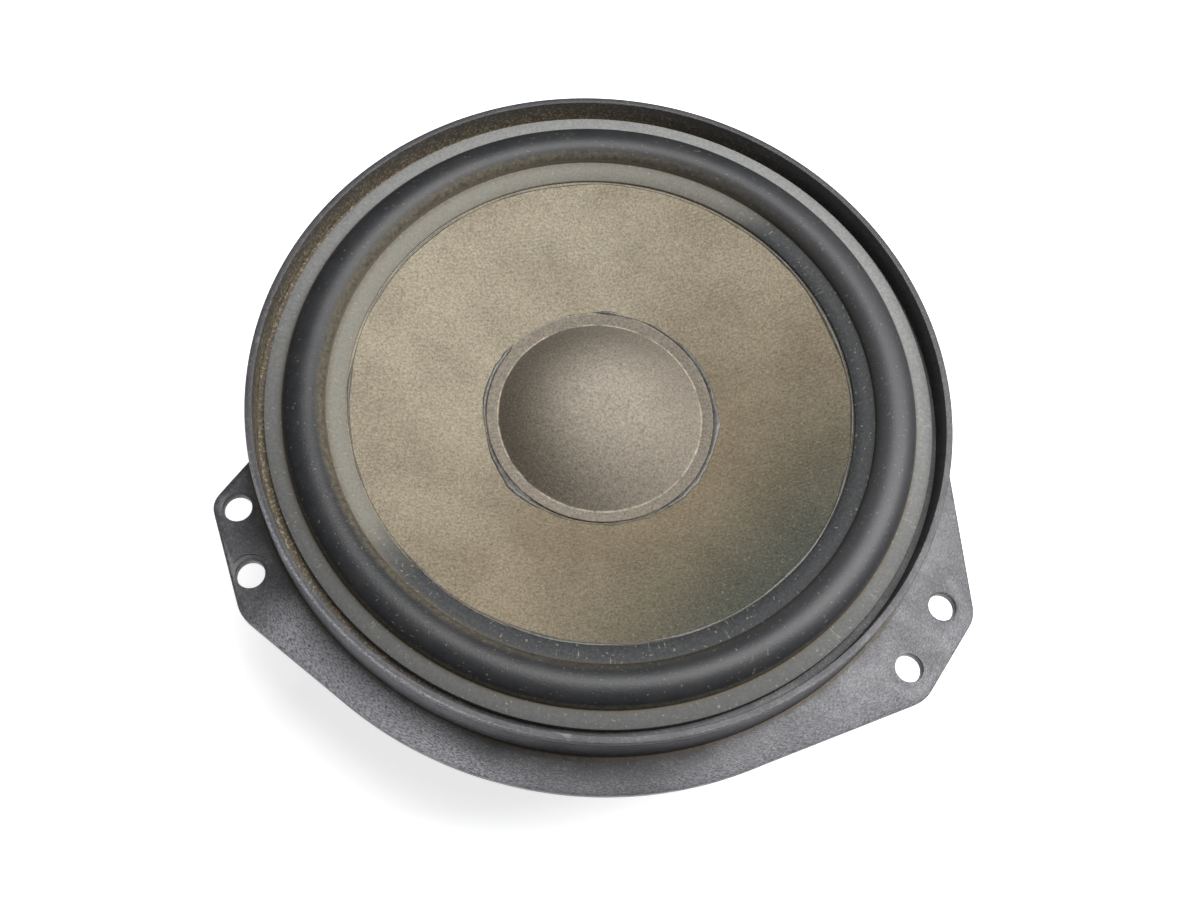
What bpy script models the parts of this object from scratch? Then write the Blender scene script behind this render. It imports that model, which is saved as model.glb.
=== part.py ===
"""A 165 mm door loudspeaker with one cone, a large dust cap and a ferrite motor.

Frame: metres. +Z runs along the cone's axis towards the listener, and the origin is the centre of
the motor's flat rear face. The two fixing ears of the basket lie towards -Y.
"""
import math

import bmesh
import bpy
from mathutils import Matrix

GAP = 0.0003
WELD = 0.000001
BASKET_STEPS = 64
CONE_STEPS = 48
INNER_STEPS = 36
SCREW_STEPS = 12

# Basket: the height of the rim sets the overall depth.
RIM_TOP = 0.0650
RIM_RADIUS = 0.0825
RIM_INNER = 0.0808
RIM_BEVEL = 0.0007
WALL_FOOT_RADIUS = 0.0835
SEAT_INNER = 0.0735
SEAT_DROP = 0.0059
GROOVE_DROP = 0.0069
FLANGE_DROP = 0.0120
FLANGE_THICK = 0.0030
FLANGE_TOP = RIM_TOP - FLANGE_DROP
FLANGE_REAR = FLANGE_TOP - FLANGE_THICK
FLANGE_RADIUS = 0.0840
FLANGE_ARC = (10.0, 198.0)
BULGE_ARC = (238.5, 298.5)
BULGE_RADIUS = 0.0915
PLATE_BORE = 0.0750
EAR_CORNER_ROUND = 0.0024
LEFT_EAR = ((-0.0860, -0.0372), (-0.0738, -0.0622))
RIGHT_EAR = ((0.0802, -0.0617), (0.0918, -0.0409))
EAR_HOLES = ((-0.0799, -0.0375), (-0.0737, -0.0525), (0.0840, -0.0393), (0.0763, -0.0547))
EAR_HOLE_RADIUS = 0.0032
NECK_RADIUS = 0.0765
NECK_DROP = 0.0210
BOWL_FOOT_RADIUS = 0.0535
BOWL_FOOT_DROP = 0.0320
BOWL_WALL = 0.0033
SHELF_DROP = 0.0294
SHELF_INNER = 0.0435
SHELF_OUTER = 0.0513
CUP_RADIUS = 0.0465
CUP_SHOULDER = (0.0010, 0.0025)
MOTOR_RING_DROP = 0.0360
MOTOR_RING_THICK = 0.0030
MOTOR_RING_BORE = 0.0200
MOTOR_RING_REAR = RIM_TOP - MOTOR_RING_DROP - MOTOR_RING_THICK
WINDOW_COUNT = 6
WINDOW_INNER = 0.0545
WINDOW_OUTER = 0.0715
SPOKE_HALF_DEG = 5.0
BOSS_SPOKE_HALF_DEG = 15.5
BOSS_SPOKE_DEG = 90
RIB_THICK = 0.0024
RIB_DEPTH = 0.0034
RIB_BURIED = 0.0010
RIB_HEAD = (0.0004, 0.0015)
RIB_FOOT = (0.0014, 0.0024)
VENT_HALF_DEG = 10.0
VENT_HEIGHT = 0.0038
VENT_DROP = 0.0317
VENT_REACH = (0.0030, 0.0040)
WINDOW_CUT_DROPS = (0.0160, 0.0360)
CUT_MARGIN = 0.0020
SEAL_WIDTH = 0.0062
SEAL_THICK = 0.0030

# Cone, dust cap and surround.
CONE_SLOPE = 0.352
CONE_THICK = 0.0008
CONE_EDGE = 0.0643
CONE_NECK = 0.01735
CONE_NECK_DROP = 0.0232
CONE_BEND = 0.0190
CONE_BEND_FRONT = (0.0005, 0.0009)
CONE_BEND_BACK = (0.0012, 0.0013)
CONE_BEND_UNDER = 0.0194
CONE_EDGE_LEAN = 0.0002
LIP_RADIUS = 0.0280
CONE_DROP_AT_LIP = 0.0176
DOME_RADIUS = 0.0252
DOME_HEIGHT = 0.0090
CAP_THICK = 0.0005
ROLL_MIDDLE = 0.06985
ROLL_HALF_WIDTH = 0.00495
ROLL_HEIGHT = 0.0039
ROLL_SIDES = 6
RUBBER_THICK = 0.0009
LANDING_DROP = 0.00405
LANDING_OUTER = 0.0789
LANDING_THICK = 0.00155
INNER_LANDING = 0.0605
INNER_LANDING_THICK = 0.0005
RUBBER_CLEARANCE = 0.0004
SURROUND_GLUE_WIDTH = 0.0010
SURROUND_GLUE_HEIGHT = 0.0003
CAP_GLUE_WIDTH = 0.0011
CAP_GLUE_HEIGHT = 0.00035

# Spider, voice coil and motor.
POLE_RADIUS = 0.0154
FORMER_RADIUS = 0.0160
FORMER_THICK = 0.00035
FORMER_TOP_DROP = 0.0204
FORMER_END_DROP = 0.0482
COLLAR_THICK = 0.0004
COLLAR_TOP_DROP = 0.0210
COLLAR_END_DROP = 0.0350
WINDING_THICK = 0.00075
WINDING_TOP_DROP = 0.0360
WINDING_END_DROP = 0.0476
SPIDER_DROP = 0.0283
SPIDER_WAVE = 0.0015
SPIDER_WAVES = 5
SPIDER_THICK = 0.0006
SPIDER_OUTER = 0.0505
SPIDER_COLLAR = (0.0006, 0.0014)
SPIDER_SPAN_INSET = (0.0016, 0.0014)
SPIDER_LANDING_INSET = 0.0010
SPIDER_GLUE_WIDTHS = (0.0006, 0.0018)
NECK_GLUE_SIZE = 0.0011
TOP_PLATE_THICK = 0.0050
TOP_PLATE_BORE = 0.0180
STEEL_RADIUS = 0.0400
MAGNET_RADIUS = 0.0425
MAGNET_BORE = 0.0200
MAGNET_THICK = 0.0150
BACK_PLATE_THICK = 0.0051
STEEL_CHAMFER = 0.0006
MAGNET_CHAMFER = 0.0010
SCREW_CIRCLE = 0.0330
SCREW_COUNT = 4
SCREW_RADIUS = 0.0015
SCREW_HEAD_RADIUS = 0.0032
SCREW_HEAD_HEIGHT = 0.0019
SCREW_LENGTH = 0.0078
SCREW_CROWN = 0.0008
SCREW_POINT = 0.0005

# Connector at the side away from the ears.
BOSS_BOTTOM_DROP = 0.0320
BOSS_INNER = 0.0550
BOSS_OUTER = 0.0705
BOSS_HALF_WIDTH = 0.0150
TERMINAL_Y = 0.0630
BLOCK_NECK_HALF = (0.0090, 0.0030)
BLOCK_SHROUD_HALF = (0.0130, 0.0060)
BLOCK_TOP_DROP = 0.0200
BLOCK_END_DROP = 0.0440
SOCKET_HALF = (0.0115, 0.0044)
SOCKET_FLOOR_DROP = 0.0355
TAB_X = 0.0056
TAB_THICK = 0.0008
TAG_WIDTH = 0.0032
TAG_TOP_DROP = 0.0165
BLADE_END_DROP = 0.0430
BLADE_WIDTHS = {"terminal_positive": 0.0063, "terminal_negative": 0.0048}
LEAD_RADIUS = 0.0008
LEAD_POINTS = 16
TAB_SHOULDER = 0.0006
TAB_TIP = 0.0010
BLOCK_OVERLAP = 0.0010
SLOT_CUT_DROPS = (0.0180, 0.0400)
LEAD_START_DROP = 0.0181
LEAD_START_INSET = 0.0019
LEAD_ROUTE = (
    (0.0058, 0.0560, 0.0196),
    (0.0066, 0.0480, 0.0226),
    (0.0068, 0.0390, 0.0241),
    (0.0060, 0.0300, 0.0240),
    (0.0050, 0.0236, 0.0246),
    (0.0045, 0.0198, 0.0254),
)
SOLDER_SIZE = (0.0013, 0.00065, 0.0013)
LEAD_JOINT = (0.0043, 0.0184, 0.0256)
LEAD_JOINT_SIZE = (0.0011, 0.0010, 0.0008)

LEAD_SIDES = {"positive": -1.0, "negative": 1.0}

MOVING_AXIS = "cone_travel_axis"


def remove_old_objects():
    for old in list(bpy.data.objects):
        bpy.data.objects.remove(old, do_unlink=True)


def make_material(name, colour, roughness, metallic=0.0):
    look = bpy.data.materials.new(name)
    look.use_nodes = True
    shader = look.node_tree.nodes["Principled BSDF"]
    shader.inputs["Base Color"].default_value = (*colour, 1.0)
    shader.inputs["Roughness"].default_value = roughness
    shader.inputs["Metallic"].default_value = metallic
    look.diffuse_color = (*colour, 1.0)
    return look


def make_materials():
    return {
        "black_plastic": make_material("black_plastic", (0.045, 0.045, 0.048), 0.5),
        "rubber": make_material("rubber", (0.060, 0.060, 0.062), 0.6),
        "cone_felt": make_material("cone_felt", (0.20, 0.17, 0.125), 0.95),
        "cap_felt": make_material("cap_felt", (0.22, 0.19, 0.155), 0.95),
        "dark_glue": make_material("dark_glue", (0.020, 0.024, 0.030), 0.35),
        "clear_glue": make_material("clear_glue", (0.28, 0.24, 0.17), 0.4),
        "kraft_paper": make_material("kraft_paper", (0.32, 0.20, 0.10), 0.85),
        "former_foil": make_material("former_foil", (0.55, 0.56, 0.58), 0.35, 1.0),
        "copper_wire": make_material("copper_wire", (0.60, 0.24, 0.11), 0.35, 1.0),
        "spider_cloth": make_material("spider_cloth", (0.48, 0.30, 0.10), 0.9),
        "zinc_steel": make_material("zinc_steel", (0.50, 0.51, 0.53), 0.4, 1.0),
        "ferrite": make_material("ferrite", (0.050, 0.050, 0.053), 0.7),
        "connector_plastic": make_material("connector_plastic", (0.030, 0.030, 0.032), 0.45),
        "tinned_brass": make_material("tinned_brass", (0.62, 0.60, 0.55), 0.3, 1.0),
        "solder": make_material("solder", (0.60, 0.60, 0.60), 0.3, 1.0),
        "tinsel_braid": make_material("tinsel_braid", (0.55, 0.38, 0.25), 0.45, 1.0),
        "foam": make_material("foam", (0.030, 0.030, 0.032), 0.98),
    }


def add_object(name, data, look=None):
    thing = bpy.data.objects.new(name, data)
    bpy.context.scene.collection.objects.link(thing)
    if look is not None:
        data.materials.append(look)
    return thing


def object_from(name, shape, look=None, smooth=True):
    """Turn a finished bmesh into an object with its faces pointing out."""
    bmesh.ops.recalc_face_normals(shape, faces=shape.faces)
    mesh = bpy.data.meshes.new(name)
    shape.to_mesh(mesh)
    shape.free()
    if smooth:
        mesh.shade_smooth()
        mesh.set_sharp_from_angle(angle=math.radians(35.0))
    return add_object(name, mesh, look)


def spin_outline(shape, outline, steps):
    """Spin a closed outline of (radius, height) points once round the Z axis."""
    start = [shape.verts.new((radius, 0.0, height)) for radius, height in outline]
    edges = []
    for index, vert in enumerate(start):
        following = (index + 1) % len(start)
        if max(outline[index][0], outline[following][0]) > WELD:
            edges.append(shape.edges.new((vert, start[following])))
    bmesh.ops.spin(shape, geom=start + edges, cent=(0.0, 0.0, 0.0), axis=(0.0, 0.0, 1.0),
                   angle=math.tau, steps=steps, use_merge=True)
    bmesh.ops.remove_doubles(shape, verts=shape.verts, dist=WELD)


def turned(name, outline, look=None, steps=CONE_STEPS):
    shape = bmesh.new()
    spin_outline(shape, outline, steps)
    return object_from(name, shape, look)


def add_prism(shape, corners, bottom, top):
    """A flat outline of (x, y) corners, stood up between two heights."""
    face = shape.faces.new([shape.verts.new((x, y, bottom)) for x, y in corners])
    lifted = bmesh.ops.extrude_face_region(shape, geom=[face])["geom"]
    tops = [item for item in lifted if isinstance(item, bmesh.types.BMVert)]
    bmesh.ops.translate(shape, verts=tops, vec=(0.0, 0.0, top - bottom))


def add_box(shape, low, high):
    size = [high[axis] - low[axis] for axis in range(3)]
    middle = [(high[axis] + low[axis]) / 2.0 for axis in range(3)]
    place = Matrix.Translation(middle) @ Matrix.Diagonal((*size, 1.0))
    bmesh.ops.create_cube(shape, size=1.0, matrix=place)


def make_cutter(name, shape):
    """A helper solid that only joins or cuts another piece."""
    helper = object_from(name, shape, smooth=False)
    helper.hide_render = True
    helper.display_type = "WIRE"
    return helper


def boolean(thing, helper, operation):
    change = thing.modifiers.new(helper.name, "BOOLEAN")
    change.operation = operation
    change.object = helper
    change.solver = "EXACT"


def on_circle(radius, degrees):
    angle = math.radians(degrees)
    return (radius * math.cos(angle), radius * math.sin(angle))


def arc_points(radius, start_deg, end_deg, pieces):
    step = (end_deg - start_deg) / pieces
    return [on_circle(radius, start_deg + step * index) for index in range(pieces + 1)]


# ---- basket -------------------------------------------------------------------------------------

def bowl_drop(radius):
    """Depth of the bowl's outer face below the rim at a radius."""
    slope = (BOWL_FOOT_DROP - NECK_DROP) / (NECK_RADIUS - BOWL_FOOT_RADIUS)
    return NECK_DROP + (NECK_RADIUS - radius) * slope


def basket_outline():
    """Rim, wall, neck, bowl, spider shelf, cup and motor ring, outer side first, top to bottom."""
    outer = [
        (RIM_RADIUS - RIM_BEVEL, 0.0),
        (RIM_RADIUS, RIM_BEVEL),
        (WALL_FOOT_RADIUS, FLANGE_DROP + FLANGE_THICK / 2.0),
        (NECK_RADIUS, FLANGE_DROP + FLANGE_THICK / 2.0),
        (NECK_RADIUS, NECK_DROP),
        (BOWL_FOOT_RADIUS, BOWL_FOOT_DROP),
        (CUP_RADIUS + CUP_SHOULDER[0], BOWL_FOOT_DROP + CUP_SHOULDER[1]),
        (CUP_RADIUS, MOTOR_RING_DROP + MOTOR_RING_THICK),
    ]
    inner = [
        (MOTOR_RING_BORE, MOTOR_RING_DROP + MOTOR_RING_THICK),
        (MOTOR_RING_BORE, MOTOR_RING_DROP),
        (SHELF_INNER, MOTOR_RING_DROP),
        (SHELF_INNER, SHELF_DROP),
        (SHELF_OUTER, SHELF_DROP),
        (SHELF_OUTER, bowl_drop(SHELF_OUTER) - BOWL_WALL),
        (SEAT_INNER, bowl_drop(SEAT_INNER) - BOWL_WALL),
        (SEAT_INNER, SEAT_DROP),
        (LANDING_OUTER, SEAT_DROP),
        (LANDING_OUTER, GROOVE_DROP),
        (RIM_INNER, GROOVE_DROP),
        (RIM_INNER, 0.0),
    ]
    return [(radius, RIM_TOP - drop) for radius, drop in outer + inner]


def flange_corners():
    """The flange's plan: round at the top, an ear each side, and a bulge between the ears."""
    top_arc = arc_points(FLANGE_RADIUS, *FLANGE_ARC, 34)
    bulge = arc_points(BULGE_RADIUS, *BULGE_ARC, 14)
    return top_arc, list(LEFT_EAR), bulge, list(RIGHT_EAR)


def make_flange():
    top_arc, left_ear, bulge, right_ear = flange_corners()
    corners = top_arc + left_ear + bulge + right_ear
    shape = bmesh.new()
    add_prism(shape, corners, FLANGE_REAR, FLANGE_TOP)
    upright = []
    for edge in shape.edges:
        low, high = edge.verts
        at_corner = any(math.dist(low.co.xy, corner) < WELD for corner in left_ear + right_ear)
        if at_corner and abs(low.co.z - high.co.z) > WELD:
            upright.append(edge)
    bmesh.ops.bevel(shape, geom=upright, offset=EAR_CORNER_ROUND, segments=4, profile=0.5,
                    affect="EDGES", material=-1)
    plate = make_cutter("flange_plate", shape)
    bore = bmesh.new()
    circle = arc_points(PLATE_BORE, 0.0, 350.0, 35)
    add_prism(bore, circle, FLANGE_REAR - CUT_MARGIN, FLANGE_TOP + CUT_MARGIN)
    boolean(plate, make_cutter("flange_bore", bore), "DIFFERENCE")
    return plate


def make_boss():
    """A wedge under the bowl that gives the connector a flat seat."""
    shape = bmesh.new()
    middle = BOWL_WALL / 2.0
    side = [
        (BOSS_INNER, RIM_TOP - BOSS_BOTTOM_DROP),
        (BOSS_OUTER, RIM_TOP - BOSS_BOTTOM_DROP),
        (BOSS_OUTER, RIM_TOP - bowl_drop(BOSS_OUTER) + middle),
        (BOSS_INNER, RIM_TOP - bowl_drop(BOSS_INNER) + middle),
    ]
    face = shape.faces.new([shape.verts.new((-BOSS_HALF_WIDTH, y, z)) for y, z in side])
    pushed = bmesh.ops.extrude_face_region(shape, geom=[face])["geom"]
    ends = [item for item in pushed if isinstance(item, bmesh.types.BMVert)]
    bmesh.ops.translate(shape, verts=ends, vec=(2.0 * BOSS_HALF_WIDTH, 0.0, 0.0))
    return make_cutter("connector_boss", shape)


def spoke_angles():
    pitch = 360.0 / WINDOW_COUNT
    return [pitch * (index + 0.5) for index in range(WINDOW_COUNT)]


def make_ribs():
    """One upright web under each plain spoke."""
    shape = bmesh.new()
    buried = BOWL_WALL / 2.0
    foot = CUP_RADIUS - RIB_BURIED
    side = [
        (NECK_RADIUS - RIB_BURIED, NECK_DROP - RIB_HEAD[1]),
        (NECK_RADIUS - RIB_HEAD[0], NECK_DROP + RIB_DEPTH),
        (BOWL_FOOT_RADIUS, BOWL_FOOT_DROP + RIB_DEPTH),
        (CUP_RADIUS + RIB_FOOT[0], MOTOR_RING_DROP + RIB_FOOT[1]),
        (foot, MOTOR_RING_DROP + RIB_BURIED),
        (foot, BOWL_FOOT_DROP + RIB_BURIED),
        (BOWL_FOOT_RADIUS, BOWL_FOOT_DROP - buried),
        (SEAT_INNER, bowl_drop(SEAT_INNER) - buried),
    ]
    for angle in spoke_angles():
        if angle == BOSS_SPOKE_DEG:
            continue
        turn = Matrix.Rotation(math.radians(angle), 4, "Z")
        verts = [shape.verts.new((radius, -RIB_THICK / 2.0, RIM_TOP - drop)) for radius, drop in side]
        pushed = bmesh.ops.extrude_face_region(shape, geom=[shape.faces.new(verts)])["geom"]
        ends = [item for item in pushed if isinstance(item, bmesh.types.BMVert)]
        bmesh.ops.translate(shape, verts=ends, vec=(0.0, RIB_THICK, 0.0))
        bmesh.ops.transform(shape, matrix=turn, verts=verts + ends)
    return make_cutter("spoke_ribs", shape)


def make_windows():
    """Openings through the bowl between the spokes, and low vents under the spider shelf."""
    shape = bmesh.new()
    pitch = 360.0 / WINDOW_COUNT
    for index in range(WINDOW_COUNT):
        middle = pitch * index
        ends = []
        for side in (-1.0, 1.0):
            spoke = middle + side * pitch / 2.0
            half = BOSS_SPOKE_HALF_DEG if spoke == BOSS_SPOKE_DEG else SPOKE_HALF_DEG
            ends.append(spoke - side * half)
        corners = arc_points(WINDOW_OUTER, ends[0], ends[1], 8)
        corners += arc_points(WINDOW_INNER, ends[1], ends[0], 8)
        upper, lower = WINDOW_CUT_DROPS
        add_prism(shape, corners, RIM_TOP - lower, RIM_TOP - upper)
        vent = arc_points(CUP_RADIUS + VENT_REACH[1], middle - VENT_HALF_DEG, middle + VENT_HALF_DEG, 2)
        vent += arc_points(SHELF_INNER - VENT_REACH[0], middle + VENT_HALF_DEG, middle - VENT_HALF_DEG, 2)
        add_prism(shape, vent, RIM_TOP - VENT_DROP - VENT_HEIGHT, RIM_TOP - VENT_DROP)
    return make_cutter("bowl_windows", shape)


def make_holes():
    """Ear holes, motor screw holes and the connector's slot."""
    shape = bmesh.new()
    for x, y in EAR_HOLES:
        ring = [(x + dx, y + dy) for dx, dy in arc_points(EAR_HOLE_RADIUS, 0.0, 340.0, 17)]
        add_prism(shape, ring, FLANGE_REAR - CUT_MARGIN, FLANGE_TOP + CUT_MARGIN)
    add_screw_holes(shape, MOTOR_RING_REAR - CUT_MARGIN, RIM_TOP - MOTOR_RING_DROP + CUT_MARGIN)
    half_x, half_y = BLOCK_NECK_HALF
    upper, lower = SLOT_CUT_DROPS
    add_box(shape, (-half_x - GAP, TERMINAL_Y - half_y - GAP, RIM_TOP - lower),
            (half_x + GAP, TERMINAL_Y + half_y + GAP, RIM_TOP - upper))
    return make_cutter("basket_holes", shape)


def screw_centres():
    return [on_circle(SCREW_CIRCLE, 45.0 + 360.0 / SCREW_COUNT * index) for index in range(SCREW_COUNT)]


def add_screw_holes(shape, bottom, top):
    for x, y in screw_centres():
        ring = [(x + dx, y + dy) for dx, dy in arc_points(SCREW_RADIUS + GAP, 0.0, 330.0, 11)]
        add_prism(shape, ring, bottom, top)


def make_basket(look):
    basket = turned("basket", basket_outline(), look, BASKET_STEPS)
    boolean(basket, make_flange(), "UNION")
    boolean(basket, make_boss(), "UNION")
    boolean(basket, make_ribs(), "UNION")
    boolean(basket, make_windows(), "DIFFERENCE")
    boolean(basket, make_holes(), "DIFFERENCE")
    return basket


def make_flange_seal(look):
    inner = NECK_RADIUS + GAP
    top = FLANGE_REAR - GAP
    outer = inner + SEAL_WIDTH
    bottom = top - SEAL_THICK
    outline = [(outer, top), (outer, bottom), (inner, bottom), (inner, top)]
    return turned("flange_seal", outline, look, BASKET_STEPS)


# ---- moving parts -------------------------------------------------------------------------------

def cone_top(radius):
    """Height of the cone's front face at a radius."""
    return RIM_TOP - CONE_DROP_AT_LIP + (radius - LIP_RADIUS) * CONE_SLOPE


def make_cone(look):
    neck_end = RIM_TOP - CONE_NECK_DROP
    under = CONE_THICK * math.hypot(1.0, CONE_SLOPE)
    bend = cone_top(CONE_BEND)
    front = [
        (CONE_EDGE, cone_top(CONE_EDGE)),
        (CONE_BEND, bend),
        (CONE_NECK + CONE_BEND_FRONT[0], bend - CONE_BEND_FRONT[1]),
        (CONE_NECK, neck_end),
    ]
    back = [
        (CONE_NECK + CONE_THICK, neck_end),
        (CONE_NECK + CONE_BEND_BACK[0], bend - CONE_BEND_BACK[1]),
        (CONE_BEND_UNDER, cone_top(CONE_BEND_UNDER) - under),
        (CONE_EDGE + CONE_EDGE_LEAN, cone_top(CONE_EDGE) - under),
    ]
    return turned("cone", front + back, look)


def dome_outline(sides=6):
    """Half of the dust cap: domed middle and a conical lip that lies on the cone."""
    edge = cone_top(DOME_RADIUS) + GAP + CAP_THICK
    ball = (DOME_RADIUS ** 2 + DOME_HEIGHT ** 2) / (2.0 * DOME_HEIGHT)
    centre = edge + DOME_HEIGHT - ball
    opening = math.asin(DOME_RADIUS / ball)
    angles = [opening * index / sides for index in range(sides + 1)]
    outer = [(ball * math.sin(angle), centre + ball * math.cos(angle)) for angle in angles]
    thin = ball - CAP_THICK
    inner = [(thin * math.sin(angle), centre + thin * math.cos(angle)) for angle in reversed(angles)]
    lip = [(LIP_RADIUS, cone_top(LIP_RADIUS) + GAP + CAP_THICK), (LIP_RADIUS, cone_top(LIP_RADIUS) + GAP)]
    heel = [(DOME_RADIUS, cone_top(DOME_RADIUS) + GAP)]
    return outer + lip + heel + inner[1:]


def make_dust_cap(look):
    return turned("dust_cap", dome_outline(), look)


def ring_on_cone(name, inner, outer, height, look):
    """A low bead of adhesive lying on the cone."""
    return turned(name, [(inner, cone_top(inner) + GAP), (inner, cone_top(inner) + GAP + height),
                         (outer, cone_top(outer) + GAP + height), (outer, cone_top(outer) + GAP)], look)


def make_cap_glue(look):
    inner = LIP_RADIUS + GAP
    return ring_on_cone("dust_cap_glue", inner, LIP_RADIUS + CAP_GLUE_WIDTH, CAP_GLUE_HEIGHT, look)


def make_surround_glue(look):
    inner = INNER_LANDING - SURROUND_GLUE_WIDTH
    return ring_on_cone("surround_glue", inner, INNER_LANDING - GAP, SURROUND_GLUE_HEIGHT, look)


def surround_outline():
    """Outer landing, half roll and inner landing, as one rubber section."""
    outer_foot = RIM_TOP - LANDING_DROP
    inner_foot = cone_top(ROLL_MIDDLE - ROLL_HALF_WIDTH) + GAP + INNER_LANDING_THICK
    under = outer_foot - LANDING_THICK
    front = [(LANDING_OUTER, outer_foot)]
    back = []
    for index in range(ROLL_SIDES + 1):
        share = index / ROLL_SIDES
        angle = math.pi * share
        foot = outer_foot + (inner_foot - outer_foot) * share
        across = ROLL_HALF_WIDTH * math.cos(angle)
        front.append((ROLL_MIDDLE + across, foot + ROLL_HEIGHT * math.sin(angle)))
        back.append((ROLL_MIDDLE + (ROLL_HALF_WIDTH - RUBBER_THICK) * math.cos(angle),
                     foot + (ROLL_HEIGHT - RUBBER_THICK) * math.sin(angle)))
    inner = [(INNER_LANDING, cone_top(INNER_LANDING) + GAP + INNER_LANDING_THICK),
             (INNER_LANDING, cone_top(INNER_LANDING) + GAP),
             (CONE_EDGE + RUBBER_CLEARANCE, cone_top(CONE_EDGE + RUBBER_CLEARANCE) + GAP)]
    outer = [(SEAT_INNER + RUBBER_CLEARANCE, under), (LANDING_OUTER, under)]
    return front + inner + back[::-1] + outer


def make_surround(look):
    return turned("surround", surround_outline(), look)


def make_former(look):
    outer = FORMER_RADIUS + FORMER_THICK
    top = RIM_TOP - FORMER_TOP_DROP
    end = RIM_TOP - FORMER_END_DROP
    outline = [(outer, top), (outer, end), (FORMER_RADIUS, end), (FORMER_RADIUS, top)]
    return turned("voice_coil_former", outline, look, INNER_STEPS)


def sleeve(name, thick, top_drop, end_drop, look):
    """A layer wrapped round the former."""
    inner = FORMER_RADIUS + FORMER_THICK + GAP
    top = RIM_TOP - top_drop
    end = RIM_TOP - end_drop
    outline = [(inner + thick, top), (inner + thick, end), (inner, end), (inner, top)]
    return turned(name, outline, look, INNER_STEPS)


def make_neck_glue(look):
    top = RIM_TOP - CONE_NECK_DROP - GAP
    outline = [(CONE_NECK + NECK_GLUE_SIZE, top), (CONE_NECK, top - NECK_GLUE_SIZE), (CONE_NECK, top)]
    return turned("neck_glue", outline, look, INNER_STEPS)


def spider_outline():
    """Neck, ring waves and a flat outer landing, with the cloth's thickness downwards."""
    start = CONE_NECK + SPIDER_SPAN_INSET[0]
    end = SHELF_INNER - SPIDER_SPAN_INSET[1]
    landing = RIM_TOP - SHELF_DROP + GAP + SPIDER_THICK
    middle = RIM_TOP - SPIDER_DROP
    points = 2 * SPIDER_WAVES
    collar_width, collar_rise = SPIDER_COLLAR
    top = [(CONE_NECK, middle + collar_rise), (CONE_NECK + collar_width, middle + collar_rise)]
    for index in range(points + 1):
        height = SPIDER_WAVE * (1.0 if index % 2 else -1.0)
        if index in (0, points):
            height = 0.0
        top.append((start + (end - start) * index / points, middle + height))
    top += [(SHELF_INNER + SPIDER_LANDING_INSET, landing), (SPIDER_OUTER, landing)]
    bottom = [(radius, height - SPIDER_THICK) for radius, height in reversed(top[2:])]
    return top + bottom + [(CONE_NECK, middle - SPIDER_THICK)]


def make_spider(look):
    return turned("spider", spider_outline(), look, INNER_STEPS)


def make_spider_glue(look):
    foot = RIM_TOP - SHELF_DROP + 2.0 * GAP + SPIDER_THICK
    crest, width = SPIDER_GLUE_WIDTHS
    outline = [(SPIDER_OUTER, foot), (SPIDER_OUTER - crest, foot + crest), (SPIDER_OUTER - width, foot)]
    return turned("spider_glue", outline, look, INNER_STEPS)


# ---- motor --------------------------------------------------------------------------------------

def chamfered_ring(inner, outer, bottom, top, chamfer):
    return [(outer - chamfer, top), (outer, top - chamfer), (outer, bottom + chamfer),
            (outer - chamfer, bottom), (inner, bottom), (inner, top)]


def motor_heights():
    plate_top = MOTOR_RING_REAR - GAP
    plate_bottom = plate_top - TOP_PLATE_THICK
    magnet_top = plate_bottom - GAP
    magnet_bottom = magnet_top - MAGNET_THICK
    return plate_top, plate_bottom, magnet_top, magnet_bottom


def make_top_plate(look):
    top, bottom, _, _ = motor_heights()
    outline = chamfered_ring(TOP_PLATE_BORE, STEEL_RADIUS, bottom, top, STEEL_CHAMFER)
    plate = turned("top_plate", outline, look, INNER_STEPS)
    shape = bmesh.new()
    add_screw_holes(shape, bottom - CUT_MARGIN, top + CUT_MARGIN)
    boolean(plate, make_cutter("plate_holes", shape), "DIFFERENCE")
    return plate


def make_magnet(look):
    _, _, top, bottom = motor_heights()
    outline = chamfered_ring(MAGNET_BORE, MAGNET_RADIUS, bottom, top, MAGNET_CHAMFER)
    return turned("magnet", outline, look)


def make_yoke(look):
    pole_top = motor_heights()[0]
    outline = [
        (0.0, pole_top),
        (POLE_RADIUS - STEEL_CHAMFER, pole_top),
        (POLE_RADIUS, pole_top - STEEL_CHAMFER),
        (POLE_RADIUS, BACK_PLATE_THICK),
        (STEEL_RADIUS - STEEL_CHAMFER, BACK_PLATE_THICK),
        (STEEL_RADIUS, BACK_PLATE_THICK - STEEL_CHAMFER),
        (STEEL_RADIUS, STEEL_CHAMFER),
        (STEEL_RADIUS - STEEL_CHAMFER, 0.0),
        (0.0, 0.0),
    ]
    return turned("yoke", outline, look, INNER_STEPS)


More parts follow.
